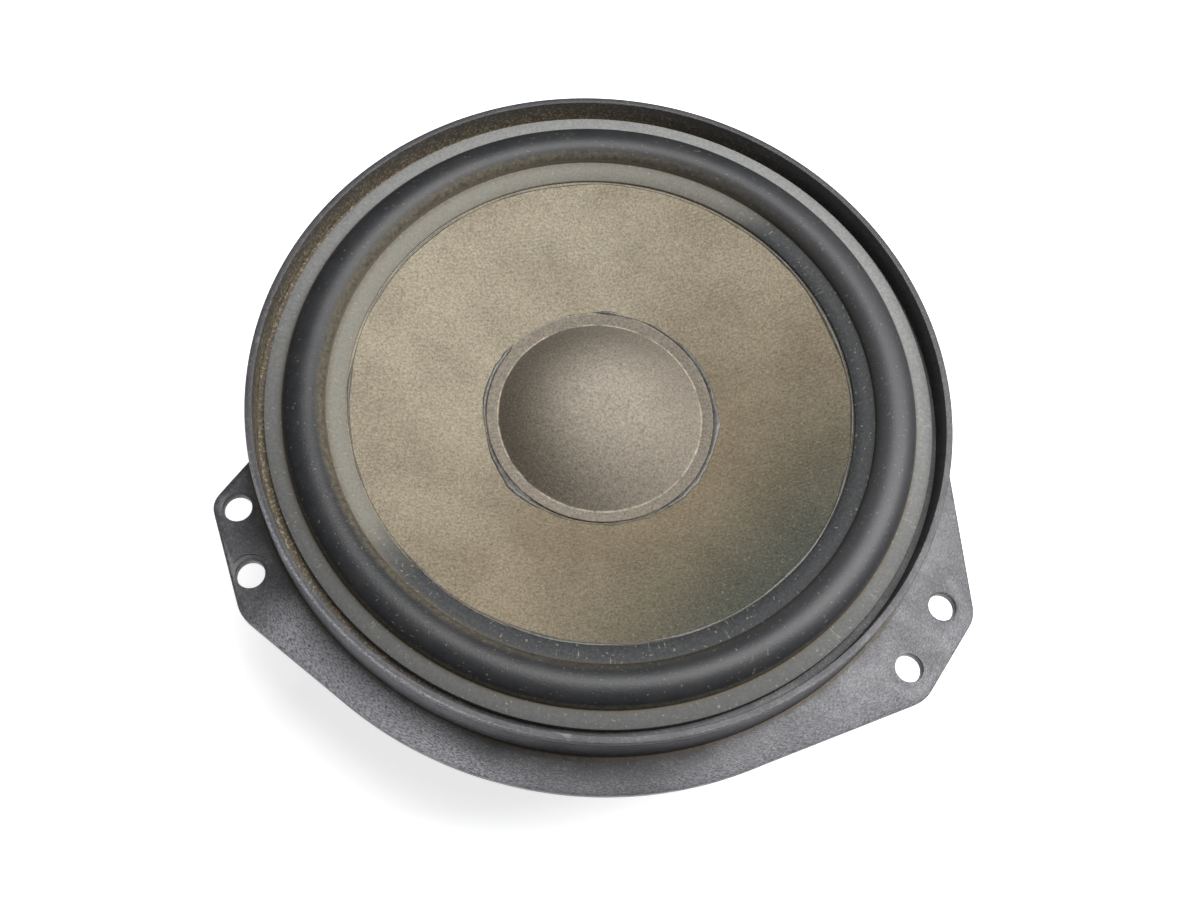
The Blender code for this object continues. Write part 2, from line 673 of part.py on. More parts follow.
def make_motor_screws(look):
    """Four pan-head screws that hold the basket on the top plate, turned once and placed four times."""
    seat = RIM_TOP - MOTOR_RING_DROP + GAP
    end = seat - SCREW_LENGTH
    outline = [
        (0.0, seat + SCREW_HEAD_HEIGHT),
        (SCREW_HEAD_RADIUS - SCREW_CROWN, seat + SCREW_HEAD_HEIGHT),
        (SCREW_HEAD_RADIUS, seat + SCREW_HEAD_HEIGHT / 2.0),
        (SCREW_HEAD_RADIUS, seat),
        (SCREW_RADIUS, seat),
        (SCREW_RADIUS, end + SCREW_POINT),
        (0.0, end),
    ]
    first = turned("motor_screw_1", outline, look, SCREW_STEPS)
    screws = [first]
    for index in range(1, SCREW_COUNT):
        copy = bpy.data.objects.new(f"motor_screw_{index + 1}", first.data)
        bpy.context.scene.collection.objects.link(copy)
        screws.append(copy)
    for screw, (x, y) in zip(screws, screw_centres()):
        screw.location = (x, y, 0.0)


# ---- connector and leads ------------------------------------------------------------------------

def make_terminal_block(look):
    """A neck through the basket's slot and an open shroud behind it, with a slot for each tab."""
    shape = bmesh.new()
    half_x, half_y = BLOCK_SHROUD_HALF
    seat = RIM_TOP - BOSS_BOTTOM_DROP - GAP
    end = RIM_TOP - BLOCK_END_DROP
    add_box(shape, (-half_x, TERMINAL_Y - half_y, end), (half_x, TERMINAL_Y + half_y, seat))
    block = object_from("terminal_block", shape, look, smooth=False)
    neck = bmesh.new()
    half_x, half_y = BLOCK_NECK_HALF
    add_box(neck, (-half_x, TERMINAL_Y - half_y, seat - BLOCK_OVERLAP),
            (half_x, TERMINAL_Y + half_y, RIM_TOP - BLOCK_TOP_DROP))
    boolean(block, make_cutter("block_neck", neck), "UNION")
    hollow = bmesh.new()
    half_x, half_y = SOCKET_HALF
    add_box(hollow, (-half_x, TERMINAL_Y - half_y, end - CUT_MARGIN),
            (half_x, TERMINAL_Y + half_y, RIM_TOP - SOCKET_FLOOR_DROP))
    boolean(block, make_cutter("block_socket", hollow), "DIFFERENCE")
    slots = bmesh.new()
    for x, width in zip((-TAB_X, TAB_X), BLADE_WIDTHS.values()):
        reach_x = width / 2.0 + GAP
        reach_y = TAB_THICK / 2.0 + GAP
        add_box(slots, (x - reach_x, TERMINAL_Y - reach_y, end - CUT_MARGIN),
                (x + reach_x, TERMINAL_Y + reach_y, RIM_TOP - BLOCK_TOP_DROP + CUT_MARGIN))
    boolean(block, make_cutter("block_slots", slots), "DIFFERENCE")
    return block


def make_terminals(look):
    """Flat tabs: a narrow solder tag above and a wider blade in the shroud."""
    for x, (name, width) in zip((-TAB_X, TAB_X), BLADE_WIDTHS.items()):
        shoulder = RIM_TOP - BLOCK_TOP_DROP - TAB_SHOULDER
        tip = RIM_TOP - BLADE_END_DROP
        tag_top = RIM_TOP - TAG_TOP_DROP
        side = [(-TAG_WIDTH / 2.0, tag_top), (-TAG_WIDTH / 2.0, shoulder), (-width / 2.0, shoulder),
                (-width / 2.0, tip + TAB_TIP), (-width / 2.0 + TAB_TIP, tip), (width / 2.0 - TAB_TIP, tip),
                (width / 2.0, tip + TAB_TIP), (width / 2.0, shoulder), (TAG_WIDTH / 2.0, shoulder),
                (TAG_WIDTH / 2.0, tag_top)]
        shape = bmesh.new()
        near = TERMINAL_Y - TAB_THICK / 2.0
        face = shape.faces.new([shape.verts.new((x + across, near, height)) for across, height in side])
        pushed = bmesh.ops.extrude_face_region(shape, geom=[face])["geom"]
        far = [item for item in pushed if isinstance(item, bmesh.types.BMVert)]
        bmesh.ops.translate(shape, verts=far, vec=(0.0, TAB_THICK, 0.0))
        object_from(name, shape, look, smooth=False)


def lead_route(side):
    """Route of one tinsel lead, from its tag over the spider to the former, with slack for the travel."""
    tag_y = TERMINAL_Y - TAB_THICK / 2.0
    start = (side * TAB_X, tag_y - LEAD_START_INSET, RIM_TOP - LEAD_START_DROP)
    return [start] + [(side * x, y, RIM_TOP - drop) for x, y, drop in LEAD_ROUTE]


def smooth_route(points, count):
    """Points at even steps along a smooth curve through the given ones."""
    padded = [points[0]] + list(points) + [points[-1]]
    spans = len(points) - 1
    smooth = []
    for index in range(count):
        along = spans * index / (count - 1)
        span = min(int(along), spans - 1)
        t = along - span
        before, start, end, after = padded[span:span + 4]
        smooth.append(tuple(
            0.5 * (2.0 * b + (c - a) * t + (2.0 * a - 5.0 * b + 4.0 * c - d) * t ** 2
                   + (3.0 * b - a - 3.0 * c + d) * t ** 3)
            for a, b, c, d in zip(before, start, end, after)))
    return smooth


def make_lead(name, side, look):
    curve = bpy.data.curves.new(name, "CURVE")
    curve.dimensions = "3D"
    curve.bevel_depth = LEAD_RADIUS
    curve.bevel_resolution = 2
    curve.use_fill_caps = True
    spline = curve.splines.new("POLY")
    route = smooth_route(lead_route(side), LEAD_POINTS)
    spline.points.add(len(route) - 1)
    for point, place in zip(spline.points, route):
        point.co = (*place, 1.0)
    spline.use_smooth = True
    return add_object(name, curve, look)


def make_blob(name, middle, radii, look):
    shape = bmesh.new()
    place = Matrix.Translation(middle) @ Matrix.Diagonal((*radii, 1.0))
    bmesh.ops.create_uvsphere(shape, u_segments=10, v_segments=6, radius=1.0, matrix=place)
    return object_from(name, shape, look)


def make_terminal_solder(name, side, look):
    half = SOLDER_SIZE[1]
    middle = (side * TAB_X, TERMINAL_Y - TAB_THICK / 2.0 - GAP - half, RIM_TOP - LEAD_START_DROP)
    return make_blob(name, middle, SOLDER_SIZE, look)


def make_lead_joint(name, side, look):
    """Where a lead is bonded to the former's collar."""
    middle = (side * LEAD_JOINT[0], LEAD_JOINT[1], RIM_TOP - LEAD_JOINT[2])
    return make_blob(name, middle, LEAD_JOINT_SIZE, look)


def make_moving_axis(children):
    """An empty on the cone's axis carries everything that slides with the cone."""
    axis = bpy.data.objects.new(MOVING_AXIS, None)
    bpy.context.scene.collection.objects.link(axis)
    for child in children:
        child.parent = axis


def main():
    remove_old_objects()
    looks = make_materials()
    make_basket(looks["black_plastic"])
    make_flange_seal(looks["foam"])
    make_surround(looks["rubber"])
    make_spider(looks["spider_cloth"])
    make_spider_glue(looks["clear_glue"])
    make_top_plate(looks["zinc_steel"])
    make_magnet(looks["ferrite"])
    make_yoke(looks["zinc_steel"])
    make_motor_screws(looks["zinc_steel"])
    make_terminal_block(looks["connector_plastic"])
    make_terminals(looks["tinned_brass"])
    for pole, side in LEAD_SIDES.items():
        make_terminal_solder(f"terminal_solder_{pole}", side, looks["solder"])
        make_lead(f"lead_{pole}", side, looks["tinsel_braid"])
    moving = [
        make_cone(looks["cone_felt"]),
        make_dust_cap(looks["cap_felt"]),
        make_cap_glue(looks["dark_glue"]),
        make_surround_glue(looks["dark_glue"]),
        make_former(looks["former_foil"]),
        sleeve("former_collar", COLLAR_THICK, COLLAR_TOP_DROP, COLLAR_END_DROP, looks["kraft_paper"]),
        sleeve("voice_coil_winding", WINDING_THICK, WINDING_TOP_DROP, WINDING_END_DROP,
               looks["copper_wire"]),
        make_neck_glue(looks["clear_glue"]),
    ]
    for pole, side in LEAD_SIDES.items():
        moving.append(make_lead_joint(f"lead_joint_{pole}", side, looks["clear_glue"]))
    make_moving_axis(moving)


main()
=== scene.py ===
# %% [markdown]
# # A door loudspeaker, built around its fixed frame
# This loudspeaker has one felt-faced cone, a big domed dust cap, a rubber surround and a plastic
# basket with two drilled ears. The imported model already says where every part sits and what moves,
# so this lesson adds what a drawing leaves out: rounded edges, cloth, rubber, glue, dust and wear.

# %% Load the frame
import math

import bmesh
import bpy
from mathutils import Matrix, Vector, noise
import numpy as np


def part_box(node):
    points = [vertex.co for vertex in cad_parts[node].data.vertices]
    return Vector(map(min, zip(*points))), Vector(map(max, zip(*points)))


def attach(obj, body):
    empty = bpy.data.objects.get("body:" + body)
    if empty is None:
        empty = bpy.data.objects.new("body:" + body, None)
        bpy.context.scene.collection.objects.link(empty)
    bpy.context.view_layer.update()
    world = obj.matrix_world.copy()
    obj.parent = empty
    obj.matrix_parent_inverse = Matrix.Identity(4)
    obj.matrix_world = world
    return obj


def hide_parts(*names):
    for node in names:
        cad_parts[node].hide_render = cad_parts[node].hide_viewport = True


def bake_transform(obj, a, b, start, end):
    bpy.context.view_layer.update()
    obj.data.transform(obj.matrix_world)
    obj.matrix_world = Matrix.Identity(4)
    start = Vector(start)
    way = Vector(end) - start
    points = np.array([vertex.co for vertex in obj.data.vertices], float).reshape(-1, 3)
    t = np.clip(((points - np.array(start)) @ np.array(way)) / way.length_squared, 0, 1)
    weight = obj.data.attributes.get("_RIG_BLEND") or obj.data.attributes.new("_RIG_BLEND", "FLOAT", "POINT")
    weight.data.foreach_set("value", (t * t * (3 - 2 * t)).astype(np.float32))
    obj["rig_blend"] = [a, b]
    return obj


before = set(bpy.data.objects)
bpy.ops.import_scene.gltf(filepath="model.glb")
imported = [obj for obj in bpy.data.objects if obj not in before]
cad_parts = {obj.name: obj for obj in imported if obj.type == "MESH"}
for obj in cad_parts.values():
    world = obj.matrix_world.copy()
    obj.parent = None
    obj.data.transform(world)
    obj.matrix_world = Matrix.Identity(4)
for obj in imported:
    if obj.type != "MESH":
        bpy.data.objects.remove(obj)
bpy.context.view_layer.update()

RIM_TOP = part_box("basket")[1].z
FRAME_BODY = "frame"
CONE_BODY = "diaphragm"
MM = 0.001
print("frame nodes:", len(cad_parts), "rim stands at", round(RIM_TOP / MM, 1), "mm")

# %% [markdown]
# ## Looking down into the bowl
# A product picture of a speaker looks into the cone from one side, so that the depth of the bowl can
# be read. The camera stands about 28 cm from the middle of the rim and leans 26 degrees off the
# axis, with a lens a little wider than normal. Roll turns the picture so that the ears hang level.

# %% Camera
CAMERA_DISTANCE = 0.27866
CAMERA_AZIMUTH = -94.5
CAMERA_ELEVATION = 63.8
CAMERA_AIM = Vector((0.0002, -0.0167, RIM_TOP))
CAMERA_ROLL = 12.48
CAMERA_LENS = 35.79
CAMERA_CLIP = 0.01


def direction(azimuth, elevation):
    """Unit vector towards a compass angle and a height angle, both in degrees."""
    turn = math.radians(azimuth)
    rise = math.radians(elevation)
    return Vector((math.cos(rise) * math.cos(turn), math.cos(rise) * math.sin(turn), math.sin(rise)))


def look(place, aim):
    """Matrix of a camera or a light that stands at a place and points at an aim."""
    turn = (aim - place).to_track_quat("-Z", "Y").to_matrix().to_4x4()
    return Matrix.Translation(place) @ turn


def make_camera():
    data = bpy.data.cameras.new("product_camera")
    data.lens = CAMERA_LENS
    data.clip_start = CAMERA_CLIP
    camera = bpy.data.objects.new("product_camera", data)
    bpy.context.scene.collection.objects.link(camera)
    away = direction(CAMERA_AZIMUTH, CAMERA_ELEVATION) * CAMERA_DISTANCE
    roll = Matrix.Rotation(math.radians(CAMERA_ROLL), 4, "Z")
    camera.matrix_world = look(Vector((0.0, 0.0, RIM_TOP)) + away, CAMERA_AIM) @ roll
    bpy.context.scene.camera = camera
    return camera


camera = make_camera()
print("camera height above the floor:", round(camera.matrix_world.translation.z, 3), "m")

# %% [markdown]
# ## Small tools for node trees
# A shader tree is easier to read as a few lines of words than as a maze of wires. `put` adds a node,
# and takes either a plain value or another node's output for each of its inputs.


# %% Node tools
def put(tree, kind, values=None, **settings):
    """Add a node, set its properties, then fill or link its inputs."""
    made = tree.nodes.new(kind)
    for key, value in settings.items():
        setattr(made, key, value)
    for key, value in (values or {}).items():
        if isinstance(value, bpy.types.NodeSocket):
            tree.links.new(value, made.inputs[key])
        else:
            made.inputs[key].default_value = value
    return made


def calc(tree, operation, *values, clamp=False):
    numbered = dict(enumerate(values))
    return put(tree, "ShaderNodeMath", numbered, operation=operation, use_clamp=clamp).outputs[0]


def times(tree, first, second, clamp=False):
    return calc(tree, "MULTIPLY", first, second, clamp=clamp)


def fade(tree, value, start, end):
    """0 at start, 1 at end, smooth between."""
    limits = {"Value": value, "From Min": start, "From Max": end}
    return put(tree, "ShaderNodeMapRange", limits, interpolation_type="SMOOTHSTEP").outputs[0]


def blend_colours(tree, share, first, second, how="MIX"):
    values = {0: share, 6: first, 7: second}
    return put(tree, "ShaderNodeMix", values, data_type="RGBA", blend_type=how).outputs[2]


def object_place(tree):
    return put(tree, "ShaderNodeTexCoord").outputs["Object"]


def axes(tree, place=None):
    """The X, Y and Z of a place, which is the object's own unless one is given."""
    place = object_place(tree) if place is None else place
    return put(tree, "ShaderNodeSeparateXYZ", {"Vector": place}).outputs


def turned_axes(tree, angle):
    """X, Y and Z after a turn round Z, for threads that run at a slant."""
    values = {"Vector": object_place(tree), "Angle": angle}
    return axes(tree, put(tree, "ShaderNodeVectorRotate", values, rotation_type="Z_AXIS").outputs[0])


def cloud(tree, scale, detail=3.0, rough=0.5, place=None):
    """Soft noise between 0 and 1, with features about 1/scale metres across."""
    place = object_place(tree) if place is None else place
    values = {"Vector": place, "Scale": scale, "Detail": detail, "Roughness": rough}
    return put(tree, "ShaderNodeTexNoise", values).outputs[0]


def grey(level):
    return (level, level, level, 1.0)


def rgb(red, green, blue):
    return (red, green, blue, 1.0)


# %% [markdown]
# ## Effects that several finishes share
# Dust, specks, worn edges and the position on a turned part come back in many finishes. Each is one
# node group with named inputs, so that a material only says how much of it it wants. The groups put
# out plain colours and masks: the shader itself stays in the material.


# %% Node group tools
def new_group(name, inputs, outputs):
    tree = bpy.data.node_groups.new(name, "ShaderNodeTree")
    for label, kind, value in inputs:
        socket = tree.interface.new_socket(name=label, in_out="INPUT", socket_type="NodeSocket" + kind)
        socket.default_value = value
    for label, kind in outputs:
        tree.interface.new_socket(name=label, in_out="OUTPUT", socket_type="NodeSocket" + kind)
    return tree, tree.nodes.new("NodeGroupInput").outputs, tree.nodes.new("NodeGroupOutput").inputs


def use(tree, group, **values):
    """Place a shared group in a tree. Underscores stand for the spaces in its input names."""
    named = {key.replace("_", " "): value for key, value in values.items()}
    return put(tree, "ShaderNodeGroup", named, node_tree=group).outputs


def mask(tree, group, **values):
    return use(tree, group, **values)["Mask"]


# %% Position on a turned part
def make_turned_place():
    """Distance from the axis and height, in millimetres, and the compass angle in degrees."""
    outputs = [("Radius", "Float"), ("Angle", "Float"), ("Height", "Float")]
    tree, _, out = new_group("turned_place", [], outputs)
    split = axes(tree)
    across = calc(tree, "SQRT", calc(tree, "ADD", calc(tree, "POWER", split[0], 2.0),
                                     calc(tree, "POWER", split[1], 2.0)))
    tree.links.new(times(tree, across, 1.0 / MM), out["Radius"])
    turn = calc(tree, "ARCTAN2", split[1], split[0])
    tree.links.new(calc(tree, "DEGREES", turn), out["Angle"])
    tree.links.new(times(tree, split[2], 1.0 / MM), out["Height"])
    return tree


# %% Facing side of a part
def make_side_mask():
    """1 on the side of the part that lies towards a compass angle, 0 on the far side."""
    tree, given, out = new_group("side_mask", [("Angle", "Float", 0.0), ("Width", "Float", 90.0),
                                               ("Ragged", "Float", 10.0), ("Soft", "Float", 0.6)],
                                 [("Mask", "Float")])
    place = use(tree, TURNED_PLACE)
    turn = calc(tree, "RADIANS", calc(tree, "SUBTRACT", place["Angle"], given["Angle"]))
    away = calc(tree, "DEGREES", calc(tree, "ARCCOSINE", calc(tree, "COSINE", turn)))
    ragged = times(tree, calc(tree, "SUBTRACT", cloud(tree, 60.0, 4.0), 0.5), given["Ragged"])
    share = calc(tree, "DIVIDE", calc(tree, "ADD", away, ragged), given["Width"])
    inner = calc(tree, "SUBTRACT", 1.0, given["Soft"])
    tree.links.new(fade(tree, share, 1.0, inner), out["Mask"])
    return tree


# %% Ring mask
def make_ring_mask():
    """1 close to a radius, fading over a width, both in millimetres."""
    tree, given, out = new_group("ring_mask", [("Radius", "Float", 60.0), ("Width", "Float", 1.0)],
                                 [("Mask", "Float")])
    place = use(tree, TURNED_PLACE)
    away = calc(tree, "ABSOLUTE", calc(tree, "SUBTRACT", place["Radius"], given["Radius"]))
    tree.links.new(fade(tree, calc(tree, "DIVIDE", away, given["Width"]), 1.0, 0.2), out["Mask"])
    return tree


# %% Specks, dust and worn edges
def make_specks():
    """Small light grains: noise cut off above a level."""
    tree, given, out = new_group("specks", [("Scale", "Float", 900.0), ("Level", "Float", 0.62),
                                            ("Soft", "Float", 0.06)], [("Mask", "Float")])
    grains = cloud(tree, given["Scale"], 2.0)
    top = calc(tree, "ADD", given["Level"], given["Soft"])
    tree.links.new(put(tree, "ShaderNodeMapRange", {"Value": grains, "From Min": given["Level"],
                                                    "From Max": top}).outputs[0], out["Mask"])
    return tree


def make_dust_coat():
    """Patchy dust over a clean colour."""
    tree, given, out = new_group("dust_coat", [("Clean", "Color", grey(0.05)),
                                               ("Dust", "Color", rgb(0.30, 0.25, 0.18)),
                                               ("Amount", "Float", 0.3), ("Scale", "Float", 300.0)],
                                 [("Color", "Color"), ("Mask", "Float")])
    patch = cloud(tree, given["Scale"], 6.0, 0.7)
    patchy = fade(tree, patch, 0.30, 0.66)
    thick = times(tree, given["Amount"], calc(tree, "MULTIPLY_ADD", patchy, 0.75, 0.25), clamp=True)
    tree.links.new(blend_colours(tree, thick, given["Clean"], given["Dust"]), out["Color"])
    tree.links.new(thick, out["Mask"])
    return tree


def make_edge_wear():
    """Paler colour along edges that stand out, broken up by noise."""
    tree, given, out = new_group("edge_wear", [("Clean", "Color", grey(0.05)),
                                               ("Worn", "Color", grey(0.25)),
                                               ("Amount", "Float", 0.5)],
                                 [("Color", "Color"), ("Mask", "Float")])
    sharp = put(tree, "ShaderNodeNewGeometry").outputs["Pointiness"]
    edge = fade(tree, sharp, 0.52, 0.60)
    broken = times(tree, edge, fade(tree, cloud(tree, 500.0, 5.0), 0.35, 0.62))
    worn = times(tree, broken, given["Amount"], clamp=True)
    tree.links.new(blend_colours(tree, worn, given["Clean"], given["Worn"]), out["Color"])
    tree.links.new(worn, out["Mask"])
    return tree


def make_fibres():
    """Long fine fibres that run round the axis, as a value between 0 and 1."""
    tree, given, out = new_group("fibres", [("Across", "Float", 3.0), ("Along", "Float", 0.6)],
                                 [("Value", "Float")])
    place = use(tree, TURNED_PLACE)
    across = times(tree, place["Radius"], given["Across"])
    along = times(tree, place["Angle"], given["Along"])
    upward = times(tree, place["Height"], given["Across"])
    spot = put(tree, "ShaderNodeCombineXYZ", {0: across, 1: along, 2: upward}).outputs[0]
    tree.links.new(cloud(tree, 1.0, 5.0, 0.7, spot), out["Value"])
    return tree


def make_twill():
    """Slanting ribs of a twill cloth, broken up by noise, as a height between 0 and 1."""
    tree, given, out = new_group("twill", [("Pitch", "Float", 0.9), ("Turn", "Float", 1.3)],
                                 [("Height", "Float")])
    across = turned_axes(tree, given["Turn"])[0]
    wander = times(tree, cloud(tree, 300.0, 3.0), 7.0)
    turns = calc(tree, "DIVIDE", times(tree, across, math.tau / MM), given["Pitch"])
    ribs = calc(tree, "SINE", calc(tree, "ADD", turns, wander))
    tree.links.new(calc(tree, "MULTIPLY_ADD", ribs, 0.5, 0.5), out["Height"])
    return tree


def make_weave():
    """Two crossing sets of threads, as a height between 0 and 1."""
    tree, given, out = new_group("weave", [("Threads", "Float", 1400.0), ("Turn", "Float", 0.6)],
                                 [("Height", "Float")])
    split = turned_axes(tree, given["Turn"])
    warp = calc(tree, "SINE", times(tree, split[0], given["Threads"]))
    weft = calc(tree, "SINE", times(tree, split[1], given["Threads"]))
    crossed = times(tree, warp, weft)
    tree.links.new(calc(tree, "MULTIPLY_ADD", crossed, 0.5, 0.5), out["Height"])
    return tree


TURNED_PLACE = make_turned_place()
SIDE_MASK = make_side_mask()
RING_MASK = make_ring_mask()
SPECKS = make_specks()
DUST_COAT = make_dust_coat()
EDGE_WEAR = make_edge_wear()
FIBRES = make_fibres()
TWILL = make_twill()
WEAVE = make_weave()
DUST_COLOUR = rgb(0.30, 0.245, 0.165)
print("shared effects:", [group.name for group in bpy.data.node_groups])


# %% Material tools
def new_material(name, roughness, metallic=0.0, **constants):
    """A Principled material. Values that are the same all over sit on the shader's own sockets."""
    made = bpy.data.materials.new(name)
    made.use_nodes = True
    tree = made.node_tree
    shader = tree.nodes["Principled BSDF"]
    shader.inputs["Roughness"].default_value = roughness
    shader.inputs["Metallic"].default_value = metallic
    for key, value in constants.items():
        shader.inputs[key.replace("_", " ")].default_value = value
    return made, tree, shader.inputs


def add_bump(tree, shader, height, strength, distance):
    values = {"Height": height, "Strength": strength, "Distance": distance}
    tree.links.new(put(tree, "ShaderNodeBump", values).outputs[0], shader["Normal"])


# %% [markdown]
# ## Felt of the cone and of the dust cap
# The cone is pressed paper with a felt face. Years of dust turn black felt tan, most of all where it
# faces up and is never brushed, and a cleaner, greener patch is left where something has wiped it.
# The lower right side of the cone is also darkened, partly as painted shade and partly as thinner dust.
# Fine noise gives the fibres, crossing threads give the faint cloth grain, and slow noise the stains.


# %% Felt
def make_felt(name, dusty, worn):
    """Start of a felt: its stained colour. The caller adds what is special to the piece."""
    made, tree, shader = new_material(name, 0.95, Sheen_Weight=0.12, Sheen_Roughness=0.6,
                                      Specular_IOR_Level=0.12)
    stains = fade(tree, cloud(tree, 38.0, 6.0, 0.62), 0.34, 0.70)
    return made, tree, shader, blend_colours(tree, stains, dusty, worn)


def finish_felt(tree, shader, colour, height, strength=0.5):
    """Short fibres in many shades, and a few pale ones, over the piece's own colour."""
    fibres = cloud(tree, 1700.0, 5.0, 0.8)
    shade = put(tree, "ShaderNodeMapRange", {"Value": fibres, "From Min": 0.32, "From Max": 0.68,
                                             "To Min": 0.50, "To Max": 1.50}).outputs[0]
    tinted = put(tree, "ShaderNodeCombineColor", {0: shade, 1: shade, 2: shade}).outputs[0]
    colour = blend_colours(tree, 1.0, colour, tinted, "MULTIPLY")
    light_fibres = mask(tree, SPECKS, Scale=1900.0, Level=0.64, Soft=0.05)
    colour = blend_colours(tree, times(tree, light_fibres, 0.20), colour, rgb(0.42, 0.38, 0.30))
    tree.links.new(colour, shader["Base Color"])
    add_bump(tree, shader, calc(tree, "ADD", height, fibres), strength, 0.00025)


def darken(tree, colour, share, floor_share):
    """Multiply a colour down to a share of itself where the mask is 1."""
    return blend_colours(tree, share, colour, grey(floor_share), "MULTIPLY")


def make_cone_felt():
    dusty, worn = rgb(0.292, 0.256, 0.190), rgb(0.236, 0.203, 0.148)
    made, tree, shader, colour = make_felt("cone_felt", dusty, worn)
    place = use(tree, TURNED_PLACE)
    # Painted shade and thinner dust: the lower right side of the cone is multiplied darker.
    shade_and_thin_dust_side = mask(tree, SIDE_MASK, Angle=-42.0, Width=160.0, Ragged=30.0, Soft=0.9)
    colour = blend_colours(tree, shade_and_thin_dust_side, colour, rgb(0.60, 0.55, 0.48), "MULTIPLY")
    wiped = times(tree, mask(tree, SIDE_MASK, Angle=-40.0, Width=74.0, Ragged=16.0, Soft=0.9),
                 fade(tree, place["Radius"], 28.0, 60.0))
    colour = blend_colours(tree, times(tree, wiped, 0.92), colour, rgb(0.052, 0.057, 0.045))
    twill = use(tree, TWILL, Pitch=0.95, Turn=1.22)["Height"]
    worn_cloth = fade(tree, cloud(tree, 70.0, 4.0), 0.38, 0.66)
    colour = darken(tree, colour, times(tree, twill, times(tree, worn_cloth, 0.38)), 0.72)
    finish_felt(tree, shader, colour, times(tree, twill, 0.22))
    return made


CAP_LIP = 25.2


def make_cap_felt():
    """The crown keeps its dusty tan. The flanks darken towards the lip, with painted shade on the left
    flank, and dust makes a pale line in the crease by the lip.
    """
    dusty, worn = rgb(0.270, 0.239, 0.196), rgb(0.246, 0.214, 0.172)
    made, tree, shader, colour = make_felt("cap_felt", dusty, worn)
    place = use(tree, TURNED_PLACE)
    flank = fade(tree, place["Radius"], 3.0, CAP_LIP - 1.0)
    # Painted shade: the dome's flanks are darkened towards the lip all round, and most on the left side,
    # which faces away from the key light.
    shaded_side = mask(tree, SIDE_MASK, Angle=165.0, Width=190.0, Ragged=26.0, Soft=0.85)
    painted_flank_shade = times(tree, flank, calc(tree, "MULTIPLY_ADD", shaded_side, 0.70, 0.22), clamp=True)
    colour = blend_colours(tree, painted_flank_shade, colour, rgb(0.060, 0.047, 0.032))
    lip = fade(tree, place["Radius"], CAP_LIP - 0.12, CAP_LIP + 0.12)
    colour = blend_colours(tree, lip, colour, rgb(0.185, 0.160, 0.130))
    crease = times(tree, mask(tree, RING_MASK, Radius=CAP_LIP, Width=0.34),
                  fade(tree, cloud(tree, 240.0, 4.0), 0.30, 0.58))
    colour = blend_colours(tree, times(tree, crease, 0.75), colour, rgb(0.42, 0.37, 0.29))
    finish_felt(tree, shader, colour, cloud(tree, 900.0, 3.0), 0.45)
    return made


CONE_FELT = make_cone_felt()
CAP_FELT = make_cap_felt()
print("felts:", CONE_FELT.name, CAP_FELT.name)

# %% [markdown]
# ## Rubber of the surround
# Moulded rubber is nearly black, but a dry bloom and fine dust make it grey, and its roll has a soft
# broad shine. On the right side of the roll a painted highlight lightens the colour as well. Dust
# packs into the two creases beside the roll, thickest on one side. The flat landings carry pale
# ticks, each a short stroke across the ring, left by handling.


# %% Rubber
ROLL_EDGES = (64.95, 74.75)


